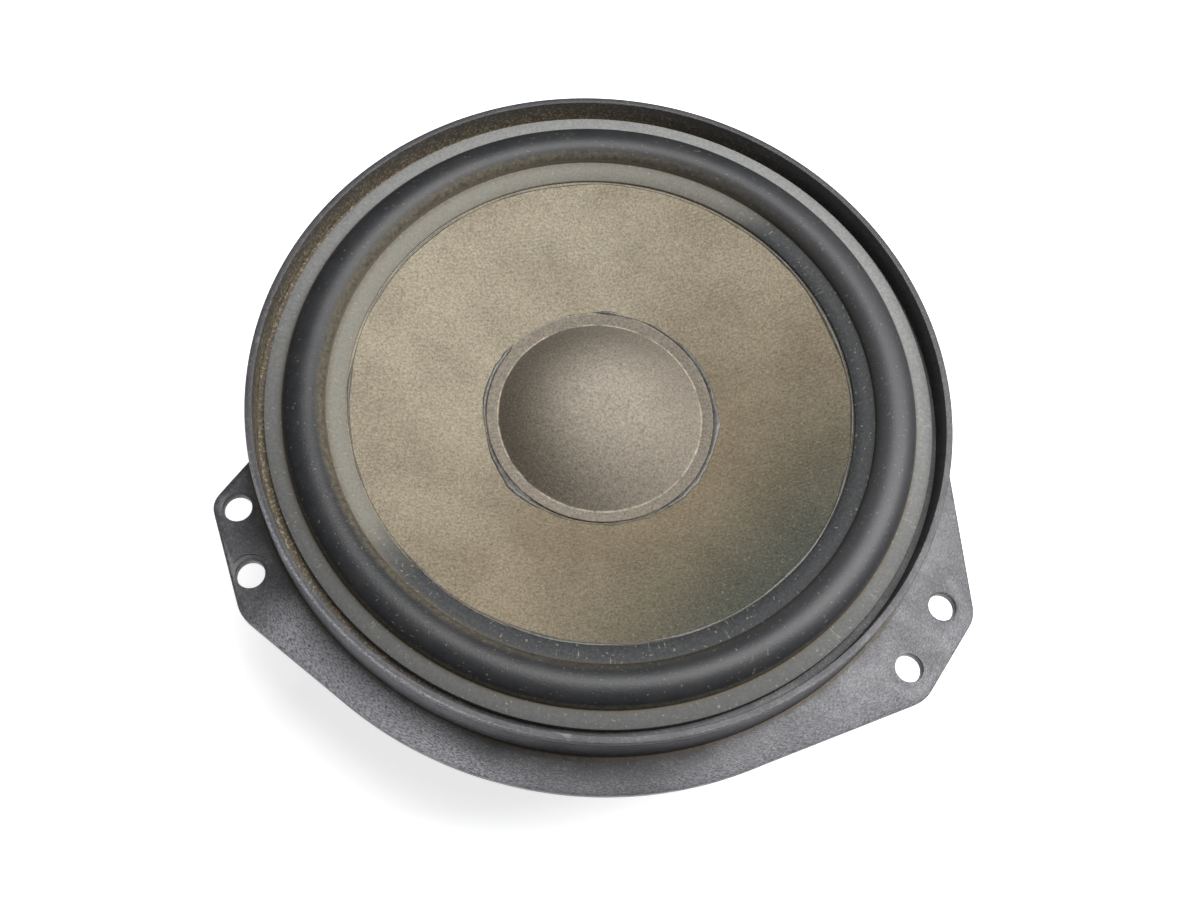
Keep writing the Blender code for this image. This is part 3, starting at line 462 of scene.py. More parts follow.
def make_rubber():
    made, tree, shader = new_material("rubber", 0.5, Specular_IOR_Level=0.42)
    place = use(tree, TURNED_PLACE)
    radius = place["Radius"]
    bloom = fade(tree, cloud(tree, 160.0, 6.0, 0.7), 0.32, 0.70)
    fine = fade(tree, cloud(tree, 1300.0, 3.0, 0.7), 0.36, 0.66)
    roll = blend_colours(tree, bloom, rgb(0.014, 0.015, 0.017), rgb(0.024, 0.024, 0.025))
    # Painted highlight: the roll's colour is lightened on its right side, towards the key light.
    painted_highlight_side = mask(tree, SIDE_MASK, Angle=4.0, Width=85.0, Ragged=15.0, Soft=0.9)
    roll = blend_colours(tree, times(tree, painted_highlight_side, 0.55), roll, rgb(0.062, 0.062, 0.067))
    outer = blend_colours(tree, fine, rgb(0.172, 0.174, 0.171), rgb(0.226, 0.223, 0.213))
    brushed = mask(tree, SIDE_MASK, Angle=-100.0, Width=135.0, Ragged=20.0, Soft=0.75)
    outer = darken(tree, outer, brushed, 0.36)
    inner = blend_colours(tree, fine, rgb(0.026, 0.028, 0.031), rgb(0.044, 0.045, 0.046))
    on_outer = fade(tree, radius, ROLL_EDGES[1] - 0.15, ROLL_EDGES[1] + 0.15)
    on_inner = fade(tree, radius, ROLL_EDGES[0] + 0.25, ROLL_EDGES[0] - 0.15)
    flat = calc(tree, "MAXIMUM", on_outer, on_inner)
    colour = blend_colours(tree, on_inner, blend_colours(tree, on_outer, roll, outer), inner)
    settled = mask(tree, SIDE_MASK, Angle=142.0, Width=92.0, Ragged=20.0, Soft=0.20)
    thick_side = mask(tree, SIDE_MASK, Angle=168.0, Width=150.0, Ragged=20.0, Soft=0.8)
    film = times(tree, times(tree, on_inner, settled),
                calc(tree, "MULTIPLY_ADD", thick_side, 0.50, 0.34))
    colour = blend_colours(tree, times(tree, film, 0.62), colour, rgb(0.225, 0.211, 0.172))
    colour = use(tree, DUST_COAT, Clean=colour, Dust=rgb(0.262, 0.245, 0.198),
                 Amount=times(tree, film, 0.55), Scale=1500.0)["Color"]
    inner_crease = times(tree, use(tree, RING_MASK, Radius=ROLL_EDGES[0] + 0.5, Width=2.0)["Mask"],
                        calc(tree, "MULTIPLY_ADD", thick_side, 0.80, 0.06))
    outer_crease = times(tree, use(tree, RING_MASK, Radius=ROLL_EDGES[1] + 0.1, Width=0.9)["Mask"],
                        calc(tree, "MULTIPLY_ADD", brushed, 0.40, 0.45))
    dusted = use(tree, DUST_COAT, Clean=colour, Dust=rgb(0.128, 0.108, 0.074),
                 Amount=calc(tree, "MAXIMUM", inner_crease, outer_crease), Scale=900.0)
    colour = dusted["Color"]
    strokes = use(tree, FIBRES, Across=0.20, Along=2.2)["Value"]
    ticks = times(tree, fade(tree, strokes, 0.60, 0.66),
                 times(tree, flat, fade(tree, cloud(tree, 130.0, 3.0), 0.54, 0.64)))
    colour = blend_colours(tree, times(tree, ticks, 0.6), colour, rgb(0.32, 0.30, 0.24))
    grains = mask(tree, SPECKS, Scale=1200.0, Level=0.66, Soft=0.05)
    dusty_places = calc(tree, "MULTIPLY_ADD", flat, 0.22, 0.22)
    colour = blend_colours(tree, times(tree, grains, dusty_places), colour, rgb(0.34, 0.30, 0.22))
    tree.links.new(colour, shader["Base Color"])
    rough = calc(tree, "MULTIPLY_ADD", flat, 0.20, 0.46)
    dulled = calc(tree, "MULTIPLY_ADD", dusted["Mask"], 0.35, rough, clamp=True)
    tree.links.new(dulled, shader["Roughness"])
    add_bump(tree, shader, cloud(tree, 1900.0, 3.0, 0.6), 0.22, 0.0002)
    return made


RUBBER = make_rubber()
print("rubber:", RUBBER.name)

# %% [markdown]
# ## Glass-filled plastic of the basket
# Black plastic with glass fibres in it never moulds quite black: pale streaks and grains show on the
# flat faces. Edges rub pale. Brown road dust fills the groove inside the rim on the side that hung
# uppermost, and lies in the corner where the outer wall meets the flange. Some of the colour is
# painted light: extra pale fibres on the lower left and lower right stand partly for scuffs and partly
# for painted reflections, the left ear is painted darker as shade, and so is the flange by the foot
# of the wall on the near side.


# %% Moulded plastic
FLANGE_HEIGHT = 53.0


def make_plastic():
    made, tree, shader = new_material("black_plastic", 0.42, Specular_IOR_Level=0.5)
    place = use(tree, TURNED_PLACE)
    radius, height = place["Radius"], place["Height"]
    flow = fade(tree, cloud(tree, 60.0, 6.0, 0.7), 0.36, 0.66)
    fibres = fade(tree, use(tree, FIBRES, Across=4.6, Along=2.1)["Value"], 0.34, 0.70)
    colour = blend_colours(tree, flow, rgb(0.027, 0.027, 0.030), rgb(0.037, 0.037, 0.041))
    top_face = times(tree, fade(tree, height, FLANGE_HEIGHT - 0.5, FLANGE_HEIGHT - 0.1),
                    fade(tree, height, FLANGE_HEIGHT + 0.5, FLANGE_HEIGHT + 0.2))
    cloudy = times(tree, top_face, calc(tree, "MULTIPLY_ADD", flow, 0.26, 0.20))
    # Partly scuffs and partly painted reflection: extra pale fibres on the lower left and lower right of the
    # flange and the outer wall.
    scuffs_and_reflection_left = mask(tree, SIDE_MASK, Angle=232.0, Width=42.0, Ragged=12.0, Soft=0.6)
    scuffs_and_reflection_right = mask(tree, SIDE_MASK, Angle=-50.0, Width=38.0, Ragged=12.0, Soft=0.8)
    scuffs_and_reflection = calc(tree, "ADD", times(tree, scuffs_and_reflection_left, 1.35), times(tree, scuffs_and_reflection_right, 0.42))
    outer_wall = times(tree, fade(tree, radius, 81.6, 82.2), fade(tree, height, 53.6, 54.6))
    # Painted shade: the top face of the left ear is multiplied darker and gets no extra pale fibres.
    left_ear = mask(tree, SIDE_MASK, Angle=207.0, Width=19.0, Ragged=6.0, Soft=0.35)
    shaded_ear_face = times(tree, top_face, left_ear)
    handled_and_reflection = times(tree, calc(tree, "MAXIMUM", top_face, outer_wall), scuffs_and_reflection)
    handled_and_reflection = times(tree, handled_and_reflection, calc(tree, "SUBTRACT", 1.0, shaded_ear_face))
    # Painted shade: on the near side the flange top is darkened towards the foot of the wall, and most of
    # its pale fibres are taken away there.
    low_side = mask(tree, SIDE_MASK, Angle=274.0, Width=32.0, Ragged=10.0, Soft=0.7)
    painted_foot_shade = times(tree, times(tree, top_face, low_side), fade(tree, radius, 90.4, 85.2))
    outside_foot_shade = calc(tree, "MULTIPLY_ADD", painted_foot_shade, -0.85, 1.0)
    fibres_and_reflection = calc(tree, "ADD", calc(tree, "ADD", cloudy, 0.06), handled_and_reflection)
    pale_fibres_and_reflection = times(tree, fibres, times(tree, fibres_and_reflection, outside_foot_shade), clamp=True)
    colour = blend_colours(tree, pale_fibres_and_reflection, colour, rgb(0.25, 0.25, 0.27))
    colour = darken(tree, colour, painted_foot_shade, 0.50)
    colour = darken(tree, colour, shaded_ear_face, 0.66)
    glass = mask(tree, SPECKS, Scale=1500.0, Level=0.56, Soft=0.14)
    colour = blend_colours(tree, times(tree, glass, 0.11), colour, grey(0.36))
    colour = use(tree, EDGE_WEAR, Clean=colour, Worn=grey(0.24), Amount=0.5)["Color"]
    above_flange = fade(tree, height, FLANGE_HEIGHT + 0.2, FLANGE_HEIGHT + 0.6)
    inside_rim = times(tree, fade(tree, radius, 81.0, 80.72), fade(tree, radius, 77.0, 79.3))
    upper_side = mask(tree, SIDE_MASK, Angle=158.0, Width=112.0, Ragged=20.0, Soft=0.55)
    near_foot = fade(tree, height, 64.6, 58.6)
    groove = times(tree, times(tree, inside_rim, above_flange),
                  times(tree, calc(tree, "MULTIPLY_ADD", upper_side, 1.1, 0.04),
                       calc(tree, "MULTIPLY_ADD", near_foot, 0.65, 0.35)))
    foot = times(tree, mask(tree, RING_MASK, Radius=83.75, Width=0.75),
                times(tree, fade(tree, height, 54.0, 53.0), fade(tree, height, 52.7, 52.9)))
    dirt = calc(tree, "MAXIMUM", groove, times(tree, foot, 0.75))
    dusted = use(tree, DUST_COAT, Clean=colour, Dust=rgb(0.150, 0.118, 0.074), Amount=dirt, Scale=620.0)
    colour = dusted["Color"]
    pale = times(tree, times(tree, groove, mask(tree, SPECKS, Scale=1500.0, Level=0.52,
                                                                    Soft=0.12)), 0.6, clamp=True)
    colour = blend_colours(tree, pale, colour, rgb(0.40, 0.34, 0.24))
    tree.links.new(colour, shader["Base Color"])
    scuffs = fade(tree, cloud(tree, 110.0, 7.0, 0.75), 0.34, 0.64)
    rough = calc(tree, "MULTIPLY_ADD", scuffs, 0.20, 0.30)
    dulled = calc(tree, "MULTIPLY_ADD", dusted["Mask"], 0.5, rough, clamp=True)
    tree.links.new(dulled, shader["Roughness"])
    grain = calc(tree, "ADD", cloud(tree, 1500.0, 4.0, 0.65), times(tree, dusted["Mask"], 0.8))
    add_bump(tree, shader, calc(tree, "ADD", grain, times(tree, fibres, 0.5)), 0.24, 0.0003)
    return made


PLASTIC = make_plastic()
print("plastic:", PLASTIC.name)

# %% [markdown]
# ## Glue, paper, metal and foam
# The other finishes need fewer words. Each still has what the real one shows: the drawn streaks of
# plated steel, the grains of sintered ferrite, the threads of the spider's cloth and of the braid.


# %% Glue
def make_glue(name, colour, pale, roughness):
    made, tree, shader = new_material(name, roughness, Coat_Weight=0.2)
    lumps = cloud(tree, 800.0, 4.0, 0.6)
    base = blend_colours(tree, fade(tree, lumps, 0.35, 0.65), colour, pale)
    dusted = use(tree, DUST_COAT, Clean=base, Dust=DUST_COLOUR, Amount=0.30, Scale=900.0)
    tree.links.new(dusted["Color"], shader["Base Color"])
    dulled = calc(tree, "MULTIPLY_ADD", dusted["Mask"], 0.4, roughness, clamp=True)
    tree.links.new(dulled, shader["Roughness"])
    add_bump(tree, shader, lumps, 0.4, 0.0003)
    return made


# %% Plated steel and other bare metals
def make_metal(name, colour, dark, roughness, scale=220.0):
    made, tree, shader = new_material(name, roughness, 1.0)
    mottle = fade(tree, cloud(tree, scale, 6.0, 0.7), 0.3, 0.7)
    base = blend_colours(tree, mottle, colour, dark)
    base = use(tree, EDGE_WEAR, Clean=base, Worn=grey(0.75), Amount=0.3)["Color"]
    dusted = use(tree, DUST_COAT, Clean=base, Dust=rgb(0.20, 0.17, 0.13), Amount=0.22, Scale=180.0)
    tree.links.new(dusted["Color"], shader["Base Color"])
    tree.links.new(calc(tree, "SUBTRACT", 1.0, dusted["Mask"]), shader["Metallic"])
    tree.links.new(calc(tree, "MULTIPLY_ADD", mottle, 0.22, roughness), shader["Roughness"])
    add_bump(tree, shader, cloud(tree, 2600.0, 3.0), 0.08, 0.0001)
    return made


# %% Ferrite
def make_ferrite():
    made, tree, shader = new_material("ferrite", 0.55)
    grains = mask(tree, SPECKS, Scale=1700.0, Level=0.60, Soft=0.10)
    mottle = fade(tree, cloud(tree, 90.0, 5.0), 0.3, 0.7)
    base = blend_colours(tree, mottle, grey(0.040), rgb(0.062, 0.060, 0.060))
    base = blend_colours(tree, times(tree, grains, 0.3), base, grey(0.22))
    base = use(tree, EDGE_WEAR, Clean=base, Worn=grey(0.16), Amount=0.6)["Color"]
    dusted = use(tree, DUST_COAT, Clean=base, Dust=DUST_COLOUR, Amount=0.09, Scale=240.0)
    tree.links.new(dusted["Color"], shader["Base Color"])
    height = axes(tree)[2]
    grinding = calc(tree, "SINE", times(tree, height, 9000.0))
    tree.links.new(calc(tree, "MULTIPLY_ADD", grains, -0.15, 0.6), shader["Roughness"])
    add_bump(tree, shader, calc(tree, "ADD", cloud(tree, 1400.0, 4.0), times(tree, grinding, 0.12)),
             0.25, 0.0003)
    return made


# %% Cloth, paper, wire, braid and foam
def make_threaded(name, colour, gap_colour, threads, turn, roughness, metallic=0.0):
    """A finish made of crossing threads: spider cloth and braid."""
    made, tree, shader = new_material(name, roughness, metallic)
    height = use(tree, WEAVE, Threads=threads, Turn=turn)["Height"]
    base = blend_colours(tree, fade(tree, height, 0.25, 0.6), gap_colour, colour)
    stain = fade(tree, cloud(tree, 110.0, 5.0), 0.35, 0.7)
    base = blend_colours(tree, times(tree, stain, 0.35), base, gap_colour)
    dusted = use(tree, DUST_COAT, Clean=base, Dust=DUST_COLOUR, Amount=0.25, Scale=350.0)
    tree.links.new(dusted["Color"], shader["Base Color"])
    add_bump(tree, shader, height, 0.5, 0.0002)
    return made


def make_wound(name, colour, dark, turns_per_metre, roughness, metallic):
    """A finish of even turns up the Z axis, such as a winding or a wrapped foil."""
    made, tree, shader = new_material(name, roughness, metallic)
    height = axes(tree)[2]
    ridges = calc(tree, "SINE", times(tree, height, turns_per_metre * math.tau))
    mottle = cloud(tree, 400.0, 4.0)
    base = blend_colours(tree, fade(tree, ridges, -0.9, 0.2), dark, colour)
    base = blend_colours(tree, times(tree, mottle, 0.4), base, dark)
    tree.links.new(base, shader["Base Color"])
    tree.links.new(calc(tree, "MULTIPLY_ADD", mottle, 0.25, roughness), shader["Roughness"])
    add_bump(tree, shader, ridges, 0.3, 0.0001)
    return made


def make_foam():
    made, tree, shader = new_material("foam", 0.98, Specular_IOR_Level=0.2)
    values = {"Vector": object_place(tree), "Scale": 1500.0}
    cells = put(tree, "ShaderNodeTexVoronoi", values).outputs[0]
    base = blend_colours(tree, fade(tree, cells, 0.2, 0.6), grey(0.012), grey(0.050))
    dusted = use(tree, DUST_COAT, Clean=base, Dust=DUST_COLOUR, Amount=0.09, Scale=300.0)
    tree.links.new(dusted["Color"], shader["Base Color"])
    add_bump(tree, shader, cells, 0.8, 0.0005)
    return made


def make_kraft():
    made, tree, shader = new_material("kraft_paper", 0.85)
    fibres = cloud(tree, 900.0, 5.0, 0.7)
    shade = fade(tree, fibres, 0.3, 0.7)
    base = blend_colours(tree, shade, rgb(0.36, 0.22, 0.11), rgb(0.23, 0.14, 0.07))
    tree.links.new(base, shader["Base Color"])
    add_bump(tree, shader, fibres, 0.25, 0.0002)
    return made


DARK_GLUE = make_glue("dark_glue", rgb(0.014, 0.019, 0.026), rgb(0.045, 0.056, 0.066), 0.42)
CLEAR_GLUE = make_glue("clear_glue", rgb(0.30, 0.22, 0.11), rgb(0.42, 0.34, 0.20), 0.3)
STEEL = make_metal("zinc_steel", rgb(0.56, 0.57, 0.59), rgb(0.40, 0.41, 0.42), 0.30)
TINNED = make_metal("tinned_brass", rgb(0.68, 0.66, 0.60), rgb(0.50, 0.47, 0.40), 0.24, 500.0)
SOLDER = make_metal("solder", rgb(0.66, 0.66, 0.66), rgb(0.44, 0.44, 0.45), 0.26, 900.0)
FERRITE = make_ferrite()
SPIDER_CLOTH = make_threaded("spider_cloth", rgb(0.50, 0.32, 0.11), rgb(0.26, 0.15, 0.045),
                             5200.0, 0.0, 0.85)
BRAID = make_threaded("tinsel_braid", rgb(0.60, 0.42, 0.28), rgb(0.30, 0.18, 0.10),
                      9000.0, 0.78, 0.42, 0.8)
COPPER = make_wound("copper_wire", rgb(0.62, 0.24, 0.10), rgb(0.25, 0.08, 0.03), 3450.0, 0.3, 0.9)
FOIL = make_wound("former_foil", rgb(0.60, 0.61, 0.63), rgb(0.45, 0.46, 0.48), 160.0, 0.3, 1.0)
FOAM = make_foam()
KRAFT = make_kraft()


def make_connector_plastic():
    made, tree, shader = new_material("connector_plastic", 0.4)
    flow = fade(tree, cloud(tree, 150.0, 5.0), 0.3, 0.7)
    base = blend_colours(tree, flow, grey(0.020), grey(0.026))
    base = use(tree, EDGE_WEAR, Clean=base, Worn=grey(0.14), Amount=0.5)["Color"]
    dusted = use(tree, DUST_COAT, Clean=base, Dust=DUST_COLOUR, Amount=0.05, Scale=400.0)
    tree.links.new(dusted["Color"], shader["Base Color"])
    tree.links.new(calc(tree, "MULTIPLY_ADD", flow, 0.18, 0.34), shader["Roughness"])
    add_bump(tree, shader, cloud(tree, 2200.0, 3.0), 0.15, 0.0002)
    return made


CONNECTOR_PLASTIC = make_connector_plastic()
print("materials:", len(bpy.data.materials))

# %% [markdown]
# ## Turning a section into a part
# Most of a loudspeaker is turned or moulded round one axis, so most pieces are one section spun
# round Z. A section here is a list of corners, each with its distance from the axis, its depth below
# the rim and the size of its rounding. Rounded corners catch the light as real edges do.

# %% Section and turning tools
FINE_STEPS = 288
PLAIN_STEPS = 144
WELD = 0.000001


def round_corner(before, corner, after, rounding, pieces):
    """Points of a curve that cuts a corner, starting a rounding before it."""
    here = Vector(corner)
    start = here + (Vector(before) - here).normalized() * rounding
    end = here + (Vector(after) - here).normalized() * rounding
    shares = [piece / pieces for piece in range(pieces + 1)]
    return [start * (1 - t) ** 2 + here * 2 * t * (1 - t) + end * t ** 2 for t in shares]


def rounded(corners, pieces=3):
    """Points of a closed section. A corner is (radius, drop, rounding), all in millimetres."""
    places = [Vector((radius, -drop)) for radius, drop, _ in corners]
    points = []
    for index, (_, _, rounding) in enumerate(corners):
        if rounding == 0.0:
            points.append(places[index])
            continue
        following = places[(index + 1) % len(places)]
        points += round_corner(places[index - 1], places[index], following, rounding, pieces)
    return [(point.x * MM, RIM_TOP + point.y * MM) for point in points]


def spin(shape, section, steps):
    """Spin a closed section of (radius, height) points, in metres, round Z into a new solid."""
    start = [shape.verts.new((radius, 0.0, height)) for radius, height in section]
    edges = []
    for index, vert in enumerate(start):
        following = (index + 1) % len(start)
        if max(section[index][0], section[following][0]) > WELD:
            edges.append(shape.edges.new((vert, start[following])))
    bmesh.ops.spin(shape, geom=start + edges, cent=(0.0, 0.0, 0.0), axis=(0.0, 0.0, 1.0),
                   angle=math.tau, steps=steps, use_merge=True)
    bmesh.ops.remove_doubles(shape, verts=shape.verts, dist=WELD)


def to_object(name, shape, material, sharp=32.0):
    """Close a bmesh into an object at the origin, faces out and round faces smooth."""
    bmesh.ops.recalc_face_normals(shape, faces=shape.faces)
    mesh = bpy.data.meshes.new(name)
    shape.to_mesh(mesh)
    shape.free()
    mesh.shade_smooth()
    mesh.set_sharp_from_angle(angle=math.radians(sharp))
    mesh.materials.append(material)
    made = bpy.data.objects.new(name, mesh)
    bpy.context.scene.collection.objects.link(made)
    return made


def spun(name, section, steps, material, sharp=32.0):
    """A new solid, turned from a section of (radius, height) points in metres."""
    shape = bmesh.new()
    spin(shape, section, steps)
    return to_object(name, shape, material, sharp)


def settle(piece, body, *nodes):
    """Say what a finished piece rides on, and hide the frame nodes it stands for."""
    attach(piece, body)
    if nodes:
        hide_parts(*nodes)
    print(piece.name, "faces:", len(piece.data.polygons))
    return piece


def turned(name, corners, material, body, *nodes, steps=PLAIN_STEPS, pieces=3):
    return settle(spun(name, rounded(corners, pieces), steps, material), body, *nodes)


# %% [markdown]
# ## The basket
# One moulding holds everything: rim, wall, flange, bowl, spider shelf and motor ring. The section is
# spun whole, then faces are taken out of the bowl's inner and outer skins between the spokes, and
# the two holes of each window are bridged through the wall. The flange, ribs and connector seat are
# joined on as solids with a Boolean, so that the result is one clean skin like the real moulding.

# %% Basket section
NECK_RADIUS = 76.5
NECK_DROP = 21.0
BOWL_FOOT = (53.5, 32.0)
BOWL_WALL = 3.3
WINDOW_EDGES = (54.5, 71.5)
WINDOW_ROWS = 4


def bowl_drop(radius):
    foot_radius, foot_drop = BOWL_FOOT
    return NECK_DROP + (NECK_RADIUS - radius) * (foot_drop - NECK_DROP) / (NECK_RADIUS - foot_radius)


def window_rows():
    inner, outer = WINDOW_EDGES
    return [outer + (inner - outer) * row / WINDOW_ROWS for row in range(WINDOW_ROWS + 1)]


BASKET_SECTION = [
    (82.5, 0.0, 0.55), (82.60, 1.50, 0.0), (82.36, 1.62, 0.0), (82.64, 1.78, 0.0),
    (83.15, 11.2, 0.9), (83.5, 12.3, 0.0), (83.4, 13.5, 0.0), (76.5, 13.5, 0.0), (76.5, 21.0, 0.9),
    *[(radius, bowl_drop(radius), 0.0) for radius in window_rows()],
    (53.5, 32.0, 0.6), (47.5, 34.5, 0.8), (46.5, 39.0, 0.4), (20.0, 39.0, 0.3), (20.0, 36.0, 0.3),
    (43.5, 36.0, 0.8), (43.5, 29.4, 0.3), (52.1, 29.4, 0.2),
    *[(radius, bowl_drop(radius) - BOWL_WALL, 0.0) for radius in reversed(window_rows())],
    (73.5, 19.1, 0.9), (73.5, 5.9, 0.3), (78.9, 5.9, 0.2), (78.9, 6.9, 0.2),
    (80.8, 6.9, 0.3), (80.8, 0.0, 0.28),
]

# %% Windows between the spokes
WINDOW_COUNT = 6
SPOKE_HALF = 5.0
SEAT_SPOKE = 90.0
SEAT_SPOKE_HALF = 15.5
SKIN_REACH = 0.3
WINDOW_ROUND = 2.6
WINDOW_PITCH = 360.0 / WINDOW_COUNT


def window_spans():
    """Start and end angle of each window. The spoke that carries the connector is wider."""
    for index in range(WINDOW_COUNT):
        middle = WINDOW_PITCH * index
        ends = []
        for side in (-1.0, 1.0):
            spoke = middle + side * WINDOW_PITCH / 2.0
            half = SEAT_SPOKE_HALF if spoke == SEAT_SPOKE else SPOKE_HALF
            ends.append(spoke - side * half)
        yield ends


def in_window(face, start, end):
    middle = face.calc_center_median()
    radius = math.hypot(middle.x, middle.y) / MM
    turn = (math.degrees(math.atan2(middle.y, middle.x)) - start) % 360.0
    if not (WINDOW_EDGES[0] < radius < WINDOW_EDGES[1] and turn < end - start):
        return False
    drop = (RIM_TOP - middle.z) / MM
    above = drop - bowl_drop(radius)
    return abs(above) < SKIN_REACH or abs(above + BOWL_WALL) < SKIN_REACH


def open_windows(shape):
    """Take out both skins in each window and bridge the wall through."""
    for start, end in window_spans():
        faces = [face for face in shape.faces if in_window(face, start, end)]
        borders = {edge for face in faces for edge in face.edges
                   if sum(other in faces for other in edge.link_faces) == 1}
        bmesh.ops.delete(shape, geom=faces, context="FACES")
        bridged = bmesh.ops.bridge_loops(shape, edges=list(borders))["faces"]
        corners = []
        for face in bridged:
            for edge in face.edges:
                if len(edge.link_faces) == 2 and all(other in bridged for other in edge.link_faces):
                    if edge.calc_face_angle(0.0) > math.radians(50.0):
                        corners.append(edge)
        bmesh.ops.bevel(shape, geom=list(set(corners)), offset=WINDOW_ROUND * MM, segments=5, profile=0.5,
                        affect="EDGES", material=-1)


def make_basket_body():
    shape = bmesh.new()
    spin(shape, rounded(BASKET_SECTION), FINE_STEPS)
    bmesh.ops.recalc_face_normals(shape, faces=shape.faces)
    open_windows(shape)
    return to_object("basket_moulding", shape, PLASTIC)


basket = make_basket_body()
print("basket faces before joining:", len(basket.data.polygons))

# %% Flange with its ears
FLANGE_DROP = 12.0
FLANGE_THICK = 3.0
FLANGE_RADIUS = 84.0
BULGE_RADIUS = 91.5
PLATE_BORE = 75.0
EDGE_ROUND = 0.45
LEFT_EAR = ((-86.0, -37.2), (-73.8, -62.2))
RIGHT_EAR = ((80.2, -61.7), (91.8, -40.9))
EAR_ROUND = 2.7
EAR_PIECES = 6
EAR_HOLES = ((-79.9, -37.5), (-73.7, -52.5), (84.0, -39.3), (76.3, -54.7))
EAR_HOLE_RADIUS = 3.2


def arc(radius, start, end, pieces, centre=(0.0, 0.0)):
    points = []
    for index in range(pieces + 1):
        turn = math.radians(start + (end - start) * index / pieces)
        points.append((centre[0] + radius * math.cos(turn), centre[1] + radius * math.sin(turn)))
    return points


def ear_corner(before, corner, after):
    return [tuple(point) for point in round_corner(before, corner, after, EAR_ROUND, EAR_PIECES)]


def flange_outline():
    top = arc(FLANGE_RADIUS, 10.0, 198.0, 120)
    bulge = arc(BULGE_RADIUS, 238.5, 298.5, 60)
    upper_left, lower_left = LEFT_EAR
    lower_right, upper_right = RIGHT_EAR
    left = ear_corner(top[-1], upper_left, lower_left) + ear_corner(upper_left, lower_left, bulge[0])
    right = ear_corner(bulge[-1], lower_right, upper_right)
    right += ear_corner(lower_right, upper_right, top[0])
    return top + left + bulge + right


def add_loop(shape, points, height):
    verts = [shape.verts.new((x * MM, y * MM, height)) for x, y in points]
    return [shape.edges.new((verts[index - 1], verts[index])) for index in range(len(verts))]


def round_rim(shape, faces):
    """Round the border of a flat region outwards with two small insets."""
    for thickness, depth in ((0.15, 0.30), (0.30, 0.15)):
        bmesh.ops.inset_region(shape, faces=faces, thickness=thickness * MM, depth=depth * MM,
                               use_even_offset=True)


def make_flange_plate():
    """A flat plate with a bore and four holes, and a rounded edge above and below."""
    shape = bmesh.new()
    rear = RIM_TOP - (FLANGE_DROP + FLANGE_THICK - EDGE_ROUND) * MM
    edges = add_loop(shape, flange_outline(), rear)
    edges += add_loop(shape, arc(PLATE_BORE, 0.0, 357.5, 143), rear)
    for centre in EAR_HOLES:
        edges += add_loop(shape, arc(EAR_HOLE_RADIUS, 0.0, 352.5, 47, centre), rear)
    bmesh.ops.triangle_fill(shape, edges=edges, use_beauty=True)
    bmesh.ops.recalc_face_normals(shape, faces=shape.faces)
    bottom = shape.faces[:]
    lifted = bmesh.ops.extrude_face_region(shape, geom=bottom, use_keep_orig=True)["geom"]
    verts = [item for item in lifted if isinstance(item, bmesh.types.BMVert)]
    top = [item for item in lifted if isinstance(item, bmesh.types.BMFace)]
    bmesh.ops.translate(shape, verts=verts, vec=(0.0, 0.0, (FLANGE_THICK - 2.0 * EDGE_ROUND) * MM))
    bmesh.ops.recalc_face_normals(shape, faces=shape.faces)
    round_rim(shape, top)
    round_rim(shape, bottom)
    return to_object("flange_plate", shape, PLASTIC)


flange = make_flange_plate()
print("flange faces:", len(flange.data.polygons))

# %% [markdown]
# ## Ribs, connector seat and cut-outs
# A rib under each plain spoke keeps the thin bowl stiff. The sixth spoke is wide and carries a flat
# seat for the connector. Low vents beside the motor let the air under the spider out. Solids that
# add are beveled first, so that their edges stay soft after the Boolean.

# %% Boolean tools
RIB_THICK = 2.4
RIB_DEPTH = 3.4
SEAT_BOTTOM_DROP = 32.0
CONNECTOR_Y = 63.0


def evaluated_mesh(piece):
    """A new mesh of a piece as its modifiers or its curve settings make it."""
    bpy.context.view_layer.update()
    seen = piece.evaluated_get(bpy.context.evaluated_depsgraph_get())
    return bpy.data.meshes.new_from_object(seen)


def join(base, other, operation):
    """Apply an exact Boolean and drop the helper."""
    modifier = base.modifiers.new("join", "BOOLEAN")
    modifier.operation = operation
    modifier.solver = "EXACT"
    modifier.object = other
    result = evaluated_mesh(base)
    base.modifiers.clear()
    base.data = result
    bpy.data.objects.remove(other)


def add_box(shape, low, high, rounding=0.0, turn=0.0):
    """A box between two corners in millimetres (x, y, drop), its edges rounded, turned round Z."""
    low = Vector((low[0] * MM, low[1] * MM, RIM_TOP - low[2] * MM))
    high = Vector((high[0] * MM, high[1] * MM, RIM_TOP - high[2] * MM))
    size = high - low
    place = Matrix.Rotation(math.radians(turn), 4, "Z") @ Matrix.Translation((low + high) / 2.0)
    made = bmesh.ops.create_cube(shape, size=1.0, matrix=place @ Matrix.Diagonal((*size, 1.0)))
    if rounding:
        edges = {edge for vert in made["verts"] for edge in vert.link_edges}
        bmesh.ops.bevel(shape, geom=list(edges), offset=rounding * MM, segments=3, profile=0.5,
                        affect="EDGES", material=-1)


def box_object(name, low, high, material, rounding=0.0, turn=0.0):
    shape = bmesh.new()
    add_box(shape, low, high, rounding, turn)
    return to_object(name, shape, material)


def plain_spokes():
    angles = [WINDOW_PITCH * (index + 0.5) for index in range(WINDOW_COUNT)]
    return [angle for angle in angles if angle != SEAT_SPOKE]


